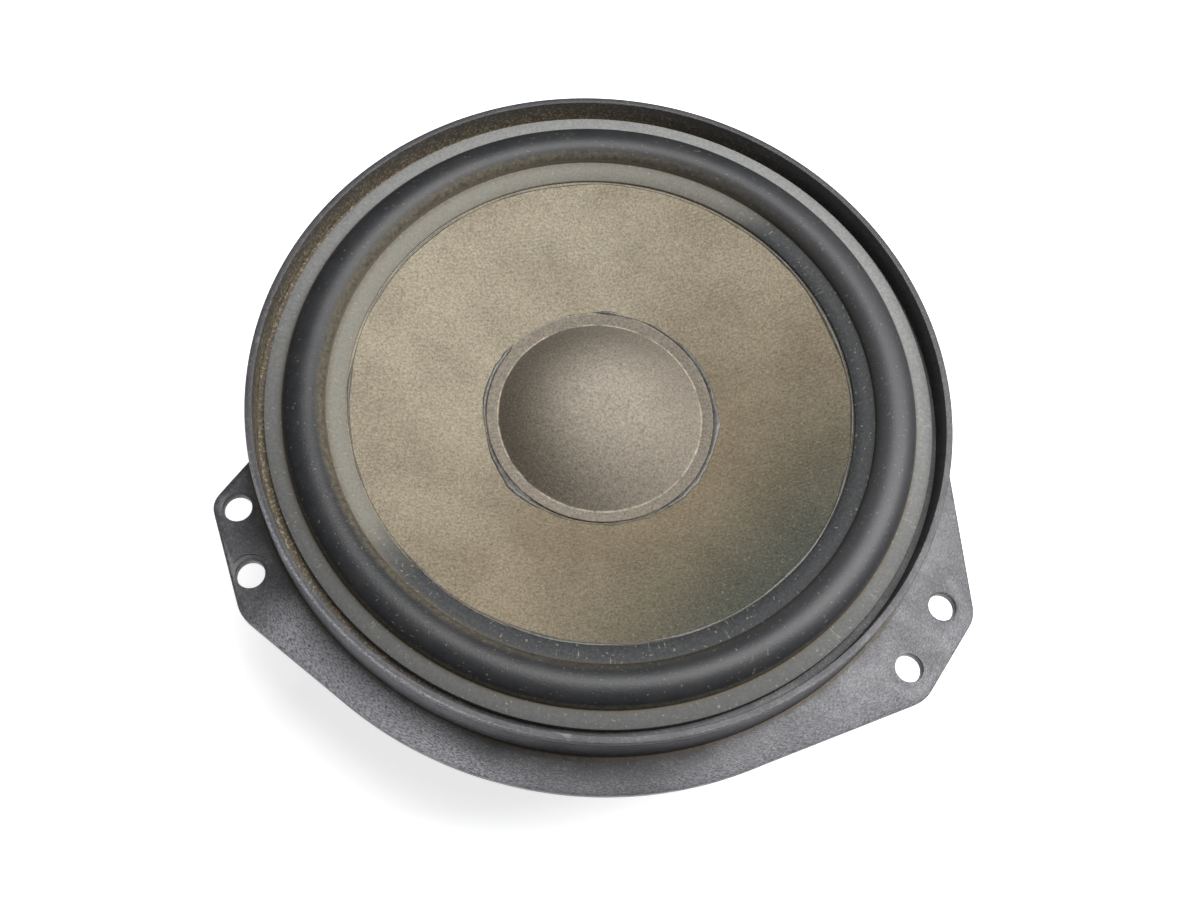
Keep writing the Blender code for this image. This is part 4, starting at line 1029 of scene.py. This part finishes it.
# %% Ribs and seat
def make_ribs():
    side = [(75.5, 19.5), (76.1, 21.0 + RIB_DEPTH), (53.5, 32.0 + RIB_DEPTH), (47.9, 38.4), (45.5, 37.0),
            (45.5, 33.0), (53.5, 30.35), (73.5, bowl_drop(73.5) - BOWL_WALL / 2.0)]
    shape = bmesh.new()
    for angle in plain_spokes():
        verts = [shape.verts.new((radius * MM, -RIB_THICK * MM / 2.0, RIM_TOP - drop * MM))
                 for radius, drop in side]
        face = shape.faces.new(verts)
        pushed = bmesh.ops.extrude_face_region(shape, geom=[face], use_keep_orig=True)["geom"]
        ends = [item for item in pushed if isinstance(item, bmesh.types.BMVert)]
        bmesh.ops.translate(shape, verts=ends, vec=(0.0, RIB_THICK * MM, 0.0))
        edges = {edge for vert in verts + ends for edge in vert.link_edges}
        turned_rib = bmesh.ops.bevel(shape, geom=list(edges), offset=0.35 * MM, segments=2, profile=0.5,
                                     affect="EDGES", material=-1)["verts"]
        rib = {vert for start in turned_rib for face in start.link_faces for vert in face.verts}
        bmesh.ops.rotate(shape, verts=list(rib), cent=(0.0, 0.0, 0.0),
                         matrix=Matrix.Rotation(math.radians(angle), 3, "Z"))
    return to_object("ribs", shape, PLASTIC)


def make_connector_seat():
    shape = bmesh.new()
    add_box(shape, (-15.0, 55.0, SEAT_BOTTOM_DROP), (15.0, 70.5, 20.0), 0.5)
    for vert in shape.verts:
        drop = (RIM_TOP - vert.co.z) / MM
        if drop < 26.0:
            vert.co.z = RIM_TOP - (bowl_drop(vert.co.y / MM) - BOWL_WALL / 2.0) * MM
    return to_object("connector_seat", shape, PLASTIC)


# %% Cut-outs
VENT_HALF_WIDTH = 8.1
SCREW_HOLE = 1.8
SCREW_HOLE_DEPTH = 7.0
SCREW_HOLE_DROP = 37.5
SCREW_CIRCLE = 33.0
SCREW_ANGLES = (45.0, 135.0, 225.0, 315.0)


def make_cutouts():
    shape = bmesh.new()
    for index in range(WINDOW_COUNT):
        add_box(shape, (40.5, -VENT_HALF_WIDTH, 35.5), (51.0, VENT_HALF_WIDTH, 31.7), 0.8,
                WINDOW_PITCH * index)
    add_box(shape, (-9.3, CONNECTOR_Y - 3.3, 40.0), (9.3, CONNECTOR_Y + 3.3, 18.0))
    for angle in SCREW_ANGLES:
        x, y = arc(SCREW_CIRCLE, angle, angle, 1)[0]
        middle = Matrix.Translation((x * MM, y * MM, RIM_TOP - SCREW_HOLE_DROP * MM))
        bmesh.ops.create_cone(shape, segments=32, radius1=SCREW_HOLE * MM, radius2=SCREW_HOLE * MM,
                              depth=SCREW_HOLE_DEPTH * MM, cap_ends=True, matrix=middle)
    return to_object("cutouts", shape, PLASTIC)


# %% Marks round two ear holes
RIDGE_SECTION = [(4.45, -0.3), (4.45, 0.10), (4.62, 0.26), (4.80, 0.26), (4.97, 0.10), (4.97, -0.3)]
RIDGE_START = 28.0
RIDGE_SWEEP = 124.0
SEAT_FLOOR = 4.3
SEAT_MOUTH = 5.3
SEAT_DEPTH = 0.3


def make_ear_marks():
    """A low raised arc over one hole, and a shallow seat round another."""
    top = RIM_TOP - FLANGE_DROP * MM
    ridge = bmesh.new()
    x, y = (value * MM for value in EAR_HOLES[1])
    turn = Matrix.Rotation(math.radians(RIDGE_START), 4, "Z")
    start = [ridge.verts.new(turn @ Vector((radius * MM, 0.0, height * MM)))
             for radius, height in RIDGE_SECTION]
    face = ridge.faces.new(start)
    geometry = list(face.verts) + list(face.edges) + [face]
    bmesh.ops.spin(ridge, geom=geometry, cent=(0.0, 0.0, 0.0), axis=(0.0, 0.0, 1.0),
                   angle=math.radians(RIDGE_SWEEP), steps=40)
    bmesh.ops.recalc_face_normals(ridge, faces=ridge.faces)
    bmesh.ops.translate(ridge, verts=ridge.verts, vec=(x, y, top))
    seat = bmesh.new()
    x, y = (value * MM for value in EAR_HOLES[3])
    bmesh.ops.create_cone(seat, segments=64, radius1=SEAT_FLOOR * MM, radius2=SEAT_MOUTH * MM,
                          depth=SEAT_DEPTH * MM, cap_ends=True,
                          matrix=Matrix.Translation((x, y, top)))
    return to_object("ear_ridge", ridge, PLASTIC), to_object("ear_seat", seat, PLASTIC)


ridge, seat = make_ear_marks()
join(flange, ridge, "UNION")
join(flange, seat, "DIFFERENCE")
join(basket, flange, "UNION")
join(basket, make_connector_seat(), "UNION")
join(basket, make_ribs(), "UNION")
join(basket, make_cutouts(), "DIFFERENCE")


def finish_edges(piece, sharp=30.0):
    """Merge what the Boolean left doubled, then smooth shading with sharp edges kept."""
    shape = bmesh.new()
    shape.from_mesh(piece.data)
    bmesh.ops.remove_doubles(shape, verts=shape.verts, dist=WELD)
    bmesh.ops.dissolve_degenerate(shape, edges=shape.edges, dist=WELD)
    open_edges = [edge for edge in shape.edges if len(edge.link_faces) != 2]
    shape.to_mesh(piece.data)
    shape.free()
    piece.data.shade_smooth()
    piece.data.set_sharp_from_angle(angle=math.radians(sharp))
    print(piece.name, "open edges:", len(open_edges))


finish_edges(basket)
settle(basket, FRAME_BODY, "basket")

# %% [markdown]
# ## The surround
# The surround is one rubber moulding: an outer landing glued to the basket's seat, a half roll that
# stands proud, and a thin inner landing glued on the cone. It has to bend, so its outer edge follows
# the basket and its inner edge follows the cone. The weights run with the distance from the axis.

# %% Cone geometry
CONE_SLOPE = 0.352
CONE_EDGE = 64.3
LIP_RADIUS = 28.0
DROP_AT_LIP = 17.6


def cone_drop(radius):
    """Depth of the cone's front face below the rim at a radius."""
    return DROP_AT_LIP - (radius - LIP_RADIUS) * CONE_SLOPE


def in_metres(section):
    return [(radius * MM, RIM_TOP - drop * MM) for radius, drop in section]


# %% Bend between the two bodies
def bend(piece, still_radius, moving_radius, *nodes):
    """The piece follows the frame outside one radius, and the cone inside the other."""
    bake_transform(piece, FRAME_BODY, CONE_BODY, start=(still_radius * MM, 0.0, 0.0),
             end=(moving_radius * MM, 0.0, 0.0))
    weights = piece.data.attributes["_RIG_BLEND"].data
    for vert in piece.data.vertices:
        radius = math.hypot(vert.co.x, vert.co.y) / MM
        share = min(max((still_radius - radius) / (still_radius - moving_radius), 0.0), 1.0)
        weights[vert.index].value = share * share * (3.0 - 2.0 * share)
    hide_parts(*nodes)
    print(piece.name, "bends between radii", still_radius, "and", moving_radius, "mm")


# %% Surround
ROLL_MIDDLE = 69.85
ROLL_HALF_WIDTH = 4.95
ROLL_HEIGHT = 3.9
RUBBER_THICK = 0.9
LANDING_DROP = 4.05
LANDING_OUTER = 78.9
INNER_LANDING = 60.5
PAPER_GAP = 0.3
INNER_LANDING_THICK = 0.5
ROLL_PIECES = 28


def surround_section():
    inner_foot = cone_drop(ROLL_MIDDLE - ROLL_HALF_WIDTH) - PAPER_GAP - INNER_LANDING_THICK
    front = [(LANDING_OUTER, LANDING_DROP + 0.35), (LANDING_OUTER - 0.1, LANDING_DROP + 0.1),
             (LANDING_OUTER - 0.35, LANDING_DROP), (76.8, LANDING_DROP - 0.03)]
    back = []
    for index in range(ROLL_PIECES + 1):
        share = index / ROLL_PIECES
        angle = math.pi * share
        foot = LANDING_DROP + (inner_foot - LANDING_DROP) * share
        front.append((ROLL_MIDDLE + ROLL_HALF_WIDTH * math.cos(angle),
                      foot - ROLL_HEIGHT * math.sin(angle)))
        back.append((ROLL_MIDDLE + (ROLL_HALF_WIDTH - RUBBER_THICK) * math.cos(angle),
                     foot - (ROLL_HEIGHT - RUBBER_THICK) * math.sin(angle)))
    inner = [(62.8, cone_drop(62.8) - PAPER_GAP - 0.52),
             (INNER_LANDING + 0.15, cone_drop(60.65) - PAPER_GAP - 0.48),
             (INNER_LANDING, cone_drop(INNER_LANDING) - PAPER_GAP - 0.3),
             (INNER_LANDING, cone_drop(INNER_LANDING) - PAPER_GAP),
             (64.7, cone_drop(64.7) - PAPER_GAP)]
    outer = [(73.9, LANDING_DROP + 1.55), (LANDING_OUTER, LANDING_DROP + 1.55)]
    return in_metres(front + inner + back[::-1] + outer)


surround = spun("surround_rubber", surround_section(), FINE_STEPS, RUBBER, 40.0)
bend(surround, 74.8, 64.9, "surround")

# %% [markdown]
# ## Cone and dust cap
# The cone is pressed in one piece with its neck, which is glued to the voice coil. The dust cap is a
# dome with a conical lip: the lip lies on the cone, so its slope matches the cone's. Both are thin
# closed shells, because light reaches both faces and the back shows between the spokes.

# %% Cone
CONE_THICK = 0.85


def cone_section():
    front = [(CONE_EDGE - 0.1, cone_drop(CONE_EDGE)), (45.0, cone_drop(45.0)), (30.0, cone_drop(30.0)),
             (19.4, cone_drop(19.4)), (18.3, cone_drop(19.4) + 0.6), (17.75, cone_drop(19.4) + 1.4),
             (17.35, 23.2)]
    back = [(18.15, 23.2), (18.5, cone_drop(19.4) + 1.7), (19.6, cone_drop(19.6) + CONE_THICK),
            (30.0, cone_drop(30.0) + CONE_THICK), (45.0, cone_drop(45.0) + CONE_THICK),
            (CONE_EDGE, cone_drop(CONE_EDGE) + CONE_THICK), (CONE_EDGE + 0.15, cone_drop(CONE_EDGE) + 0.4)]
    return in_metres(front + back)


settle(spun("cone_paper", cone_section(), FINE_STEPS, CONE_FELT), CONE_BODY, "cone")

# %% Dust cap
DOME_HEIGHT = 9.0
CAP_THICK = 0.5
DOME_PIECES = 26


def cap_section():
    edge = cone_drop(CAP_LIP) - PAPER_GAP - CAP_THICK
    ball = (CAP_LIP ** 2 + DOME_HEIGHT ** 2) / (2.0 * DOME_HEIGHT)
    centre = edge - DOME_HEIGHT + ball
    opening = math.asin(CAP_LIP / ball)
    angles = [opening * index / DOME_PIECES for index in range(DOME_PIECES + 1)]
    outer = [(ball * math.sin(angle), centre - ball * math.cos(angle)) for angle in angles]
    thin = ball - CAP_THICK
    inner = [(thin * math.sin(angle), centre - thin * math.cos(angle)) for angle in reversed(angles)]
    top = cone_drop(LIP_RADIUS) - PAPER_GAP
    lip = [(26.6, cone_drop(26.6) - PAPER_GAP - CAP_THICK - 0.08),
           (27.7, cone_drop(27.7) - PAPER_GAP - CAP_THICK),
           (27.95, top - 0.35), (LIP_RADIUS, top)]
    heel = [(CAP_LIP, cone_drop(CAP_LIP) - PAPER_GAP)]
    return in_metres(outer + lip + heel + inner[1:])


settle(spun("dust_cap_felt", cap_section(), FINE_STEPS, CAP_FELT, 24.0), CONE_BODY, "dust_cap")

# %% [markdown]
# ## Lines of glue
# The glue round the dust cap is laid by hand with a nozzle, so it swells, thins and nearly stops. The
# bead starts as an even ring and every point is then pulled towards the bead's foot by slow noise
# that runs round the ring. Two places get more glue, where the nozzle started and stopped.


# %% Beads
def make_bead(name, middle, half_width, height, body, node, swells=(), low=0.1, steps=360, seed=0.0):
    """An uneven bead on the cone. Swells are (angle, reach in degrees, extra width)."""
    foot = cone_drop(middle) - 0.06
    section = [(middle - half_width, foot), (middle - half_width * 0.8, foot - height * 0.6),
               (middle - half_width * 0.3, foot - height), (middle + half_width * 0.3, foot - height),
               (middle + half_width * 0.8, foot - height * 0.6), (middle + half_width, foot)]
    shape = bmesh.new()
    spin(shape, in_metres(section), steps)
    for vert in shape.verts:
        radius = math.hypot(vert.co.x, vert.co.y)
        angle = math.degrees(math.atan2(vert.co.y, vert.co.x))
        spot = Vector((vert.co.x / radius * 3.0, vert.co.y / radius * 3.0, seed))
        width = low + (1.1 - low) * max(0.0, noise.fractal(spot, 1.0, 2.2, 4) * 1.6 + 0.45)
        for centre, reach, extra in swells:
            away = abs((angle - centre + 180.0) % 360.0 - 180.0)
            near = max(0.0, 1.0 - away / reach)
            width += extra * near * near * (3.0 - 2.0 * near) * (1.0 + 0.5 * noise.noise(spot * 4.0))
        drift = noise.noise(spot * 1.7 + Vector((7.0, 0.0, 0.0))) * 0.25
        wanted = middle + drift + (radius / MM - middle) * width
        rise = (vert.co.z - (RIM_TOP - foot * MM)) * min(width, 1.25)
        vert.co.x *= wanted * MM / radius
        vert.co.y *= wanted * MM / radius
        vert.co.z = RIM_TOP - (cone_drop(wanted) - 0.06) * MM + rise
    return settle(to_object(name, shape, DARK_GLUE, 50.0), body, node)


make_bead("dust_cap_bead", 28.55, 0.48, 0.36, CONE_BODY, "dust_cap_glue",
          ((-15.0, 85.0, 1.0), (232.0, 22.0, 1.0), (120.0, 50.0, -0.35)), seed=2.4)
make_bead("surround_bead", 60.0, 0.32, 0.25, CONE_BODY, "surround_glue",
          ((-70.0, 90.0, 0.3),), 0.25, seed=8.1)

# %% [markdown]
# ## Voice coil, spider and their glue
# Behind the cone an aluminium tube carries the copper winding down into the motor's gap. A corrugated
# cloth disc, the spider, keeps it centred. All of it is turned, and the spider bends like the surround.

# %% Coil and spider
turned("coil_former", [(16.35, 20.4, 0.08), (16.35, 48.2, 0.08), (16.0, 48.2, 0.08), (16.0, 20.4, 0.08)],
       FOIL, CONE_BODY, "voice_coil_former")
turned("coil_collar", [(17.05, 21.0, 0.1), (17.05, 35.0, 0.1), (16.65, 35.0, 0.1), (16.65, 21.0, 0.1)],
       KRAFT, CONE_BODY, "former_collar")
turned("coil_winding", [(17.4, 36.0, 0.2), (17.4, 47.6, 0.2), (16.65, 47.6, 0.1), (16.65, 36.0, 0.1)],
       COPPER, CONE_BODY, "voice_coil_winding")
turned("neck_bead", [(18.45, 23.5, 0.1), (17.35, 24.6, 0.1), (17.35, 23.5, 0.0)],
       CLEAR_GLUE, CONE_BODY, "neck_glue")
turned("spider_bead", [(50.5, 28.2, 0.0), (49.9, 27.6, 0.3), (48.7, 28.2, 0.0)], CLEAR_GLUE, FRAME_BODY,
       "spider_glue")

SPIDER_DROP = 28.3
SPIDER_WAVE = 1.5
SPIDER_SPAN = (18.95, 42.1)
SPIDER_WAVES = 10
SPIDER_THICK = 0.6


def spider_section():
    start, end = SPIDER_SPAN
    top = [(17.35, SPIDER_DROP - 1.4), (17.95, SPIDER_DROP - 1.4)]
    pieces = SPIDER_WAVES * 8
    for index in range(pieces + 1):
        wave = index / 8
        rise = -math.cos(math.pi * wave)
        near_end = min(wave, SPIDER_WAVES - wave, 1.0)
        rise *= (1.0 - math.cos(math.pi * near_end)) / 2.0
        top.append((start + (end - start) * index / pieces, SPIDER_DROP - SPIDER_WAVE * rise))
    top += [(44.5, 28.5), (50.4, 28.5)]
    bottom = [(radius, drop + SPIDER_THICK) for radius, drop in reversed(top[2:])]
    return in_metres(top + bottom + [(17.35, SPIDER_DROP + SPIDER_THICK)])


spider = spun("spider_cloth_disc", spider_section(), PLAIN_STEPS, SPIDER_CLOTH, 50.0)
bend(spider, 43.5, 18.5, "spider")

# %% [markdown]
# ## The motor
# A ferrite ring sits between two zinc-plated steel plates. The magnet is ground flat on its faces and
# left as pressed on its rim, and its edges are cut at a small slant. Four pan-head screws from
# inside the basket clamp the top plate.

# %% Plates, magnet and screws
turned("top_steel", [(40.0, 39.3, 0.6), (40.0, 44.3, 0.6), (18.0, 44.3, 0.3), (18.0, 39.3, 0.3)],
       STEEL, FRAME_BODY, "top_plate")
turned("magnet_ring", [(42.5, 44.6, 1.0), (42.5, 59.6, 1.0), (20.0, 59.6, 0.4), (20.0, 44.6, 0.4)],
       FERRITE, FRAME_BODY, "magnet", pieces=2)
turned("back_steel", [(0.0, 39.3, 0.0), (15.4, 39.3, 0.6), (15.4, 59.9, 0.3), (40.0, 59.9, 0.6),
                      (40.0, 65.0, 0.7), (6.0, 65.0, 0.0), (5.2, 64.4, 0.3), (0.0, 64.2, 0.0)], STEEL, FRAME_BODY, "yoke")


SCREW_SECTION = [(0.0, 33.8, 0.0), (2.3, 33.8, 0.5), (3.2, 34.7, 0.5), (3.2, 35.7, 0.1), (1.5, 35.7, 0.1),
                 (1.5, 43.0, 0.2), (1.0, 43.5, 0.0), (0.0, 43.5, 0.0)]
SCREW_STEPS = 32
SCREW_TWIST = 17.0
CROSS_REACH = 1.7
CROSS_HALF = 0.32
CROSS_FLOOR_DROP = 34.9
CROSS_TOP_DROP = 33.0


def make_screw(index, angle):
    """A pan head with a cross recess, on its shank. Each screw stopped at another angle."""
    screw = spun(f"screw_{index}", rounded(SCREW_SECTION), SCREW_STEPS, STEEL)
    for turn in (0.0, 90.0):
        cross = box_object("cross", (-CROSS_REACH, -CROSS_HALF, CROSS_FLOOR_DROP),
                           (CROSS_REACH, CROSS_HALF, CROSS_TOP_DROP), STEEL, 0.0, turn + SCREW_TWIST * index)
        join(screw, cross, "DIFFERENCE")
    x, y = arc(SCREW_CIRCLE, angle, angle, 1)[0]
    screw.data.transform(Matrix.Translation((x * MM, y * MM, 0.0)))
    finish_edges(screw)
    return settle(screw, FRAME_BODY, f"motor_screw_{index}")


for index, angle in enumerate(SCREW_ANGLES, 1):
    make_screw(index, angle)

# %% Foam seal
turned("seal_foam", [(83.0, 15.3, 0.4), (83.0, 18.3, 0.7), (76.8, 18.3, 0.7), (76.8, 15.3, 0.4)],
       FOAM, FRAME_BODY, "flange_seal")

# %% [markdown]
# ## Connector, tabs and leads
# The connector is a moulded socket behind the wide spoke, with two flat tabs through it. One tab is
# wider, so that the plug fits only one way. From each tab a braided lead runs to the voice coil with
# enough slack for the travel. The lead bends, so its ends follow two different bodies.

# %% Connector
def connector_box(name, half_length, half_width, low_drop, high_drop, rounding):
    """A box centred on the connector, from one drop below the rim up to another."""
    return box_object(name, (-half_length, CONNECTOR_Y - half_width, low_drop),
                      (half_length, CONNECTOR_Y + half_width, high_drop), CONNECTOR_PLASTIC, rounding)


connector = connector_box("connector_body", 13.0, 6.0, 44.0, 32.3, 0.5)
join(connector, connector_box("neck", 9.0, 3.0, 33.3, 20.0, 0.3), "UNION")
join(connector, connector_box("socket", 11.5, 4.4, 46.0, 35.5, 0.4), "DIFFERENCE")
TABS = (("positive", -1.0, 6.3), ("negative", 1.0, 4.8))
TAB_X = 5.6
shape = bmesh.new()
for name, side, width in TABS:
    add_box(shape, (side * TAB_X - width / 2.0 - 0.25, CONNECTOR_Y - 0.65, 46.0),
            (side * TAB_X + width / 2.0 + 0.25, CONNECTOR_Y + 0.65, 18.0))
join(connector, to_object("tab_slots", shape, CONNECTOR_PLASTIC), "DIFFERENCE")
finish_edges(connector)
settle(connector, FRAME_BODY, "terminal_block")


# %% Tabs
TAB_HALF_THICK = 0.4
TAB_TAPER = 0.72
TAG_HALF = 1.6


def make_tab(name, side, width):
    blade = bmesh.new()
    middle = side * TAB_X
    add_box(blade, (middle - width / 2.0, CONNECTOR_Y - TAB_HALF_THICK, 43.0),
            (middle + width / 2.0, CONNECTOR_Y + TAB_HALF_THICK, 20.6), 0.15)
    for vert in blade.verts:
        if vert.co.z < RIM_TOP - 42.0 * MM:
            vert.co.x = middle * MM + (vert.co.x - middle * MM) * TAB_TAPER
    tab = to_object(f"tab_{name}", blade, TINNED)
    tag = box_object("tag", (middle - TAG_HALF, CONNECTOR_Y - 0.38, 21.5),
                     (middle + TAG_HALF, CONNECTOR_Y + 0.38, 16.5), TINNED, 0.12)
    join(tab, tag, "UNION")
    finish_edges(tab)
    settle(tab, FRAME_BODY, f"terminal_{name}")


for tab in TABS:
    make_tab(*tab)

# %% Leads, solder and joints
LEAD_ROUTE = ((5.6, 60.7, 18.1), (5.8, 56.0, 19.6), (6.6, 48.0, 22.6), (6.8, 39.0, 24.1), (6.0, 30.0, 24.0),
              (5.0, 23.6, 24.6), (4.5, 19.8, 25.4))
LEAD_RADIUS = 0.75


def make_lead(name, side):
    curve = bpy.data.curves.new("lead_path", "CURVE")
    curve.dimensions = "3D"
    curve.bevel_depth = LEAD_RADIUS * MM
    curve.bevel_resolution = 4
    curve.use_fill_caps = True
    curve.resolution_u = 10
    spline = curve.splines.new("BEZIER")
    spline.bezier_points.add(len(LEAD_ROUTE) - 1)
    for point, (x, y, drop) in zip(spline.bezier_points, LEAD_ROUTE):
        point.co = (side * x * MM, y * MM, RIM_TOP - drop * MM)
        point.handle_left_type = "AUTO"
        point.handle_right_type = "AUTO"
    path = bpy.data.objects.new("lead_path", curve)
    bpy.context.scene.collection.objects.link(path)
    shape = bmesh.new()
    shape.from_mesh(evaluated_mesh(path))
    bpy.data.objects.remove(path)
    bmesh.ops.remove_doubles(shape, verts=shape.verts, dist=WELD)
    lead = to_object(f"braid_{name}", shape, BRAID, 60.0)
    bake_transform(lead, FRAME_BODY, CONE_BODY, start=(0.0, 0.060, 0.0), end=(0.0, 0.020, 0.0))
    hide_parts(f"lead_{name}")
    print(lead.name, "faces:", len(lead.data.polygons))


def make_blob(name, middle, radii, material, body, node):
    shape = bmesh.new()
    place = Matrix.Translation((middle[0] * MM, middle[1] * MM, RIM_TOP - middle[2] * MM))
    size = Matrix.Diagonal((radii[0] * MM, radii[1] * MM, radii[2] * MM, 1.0))
    bmesh.ops.create_icosphere(shape, subdivisions=4, radius=1.0, matrix=place @ size)
    for vert in shape.verts:
        vert.co += vert.normal * noise.noise(vert.co * 900.0) * 0.12 * MM
    settle(to_object(name, shape, material, 80.0), body, node)


for name, side, width in TABS:
    make_lead(name, side)
    make_blob(f"solder_{name}", (side * TAB_X, 61.62, 18.1), (1.2, 0.55, 1.2), SOLDER, FRAME_BODY,
              f"terminal_solder_{name}")
    make_blob(f"joint_{name}", (side * 4.3, 18.4, 25.6), (1.0, 0.9, 0.7), CLEAR_GLUE, CONE_BODY,
              f"lead_joint_{name}")

# %% [markdown]
# ## Floor and light
# One large soft box above and behind the right side gives the rubber and the plastic their broad
# reflections, and models the dome. A larger, stronger one almost overhead opens the shadows. The
# floor is pale and plain, so that the outline reads.

# %% Floor
FLOOR_SIZE = 6.0


def make_floor():
    shape = bmesh.new()
    bmesh.ops.create_grid(shape, x_segments=1, y_segments=1, size=FLOOR_SIZE / 2.0)
    made, tree, shader = new_material("pale_floor", 0.9, Emission_Strength=0.75, Specular_IOR_Level=0.1)
    tone = cloud(tree, 3.0)
    pale = blend_colours(tree, tone, grey(0.90), grey(0.93))
    tree.links.new(pale, shader["Base Color"])
    tree.links.new(pale, shader["Emission Color"])
    floor = to_object("floor", shape, made)
    if floor.data.polygons[0].normal.z < 0.0:
        floor.data.flip_normals()
    return floor


make_floor()

# %% Lights
LIGHT_AIM = Vector((0.0, -0.01, RIM_TOP))


def soft_box(name, azimuth, elevation, distance, size, power):
    data = bpy.data.lights.new(name, "AREA")
    data.shape = "RECTANGLE"
    data.size, data.size_y = size
    data.energy = power
    light = bpy.data.objects.new(name, data)
    bpy.context.scene.collection.objects.link(light)
    light.matrix_world = look(LIGHT_AIM + direction(azimuth, elevation) * distance, LIGHT_AIM)
    print(name, "power", power, "W at", distance, "m")


KEY_SIZE = (0.34, 0.34)
KEY_POWER = 3.7
TOP_SIZE = (0.42, 0.42)
TOP_POWER = 5.6
SKY_COLOUR = rgb(0.95, 0.97, 1.0)
SKY_STRENGTH = 0.16
soft_box("key_box", 16.0, 50.0, 0.70, KEY_SIZE, KEY_POWER)
soft_box("top_box", 50.0, 77.0, 0.75, TOP_SIZE, TOP_POWER)

world = bpy.data.worlds.new("studio")
world.use_nodes = True
sky = world.node_tree.nodes["Background"].inputs
sky["Color"].default_value = SKY_COLOUR
sky["Strength"].default_value = SKY_STRENGTH
bpy.context.scene.world = world
bpy.context.scene.view_settings.view_transform = "Standard"
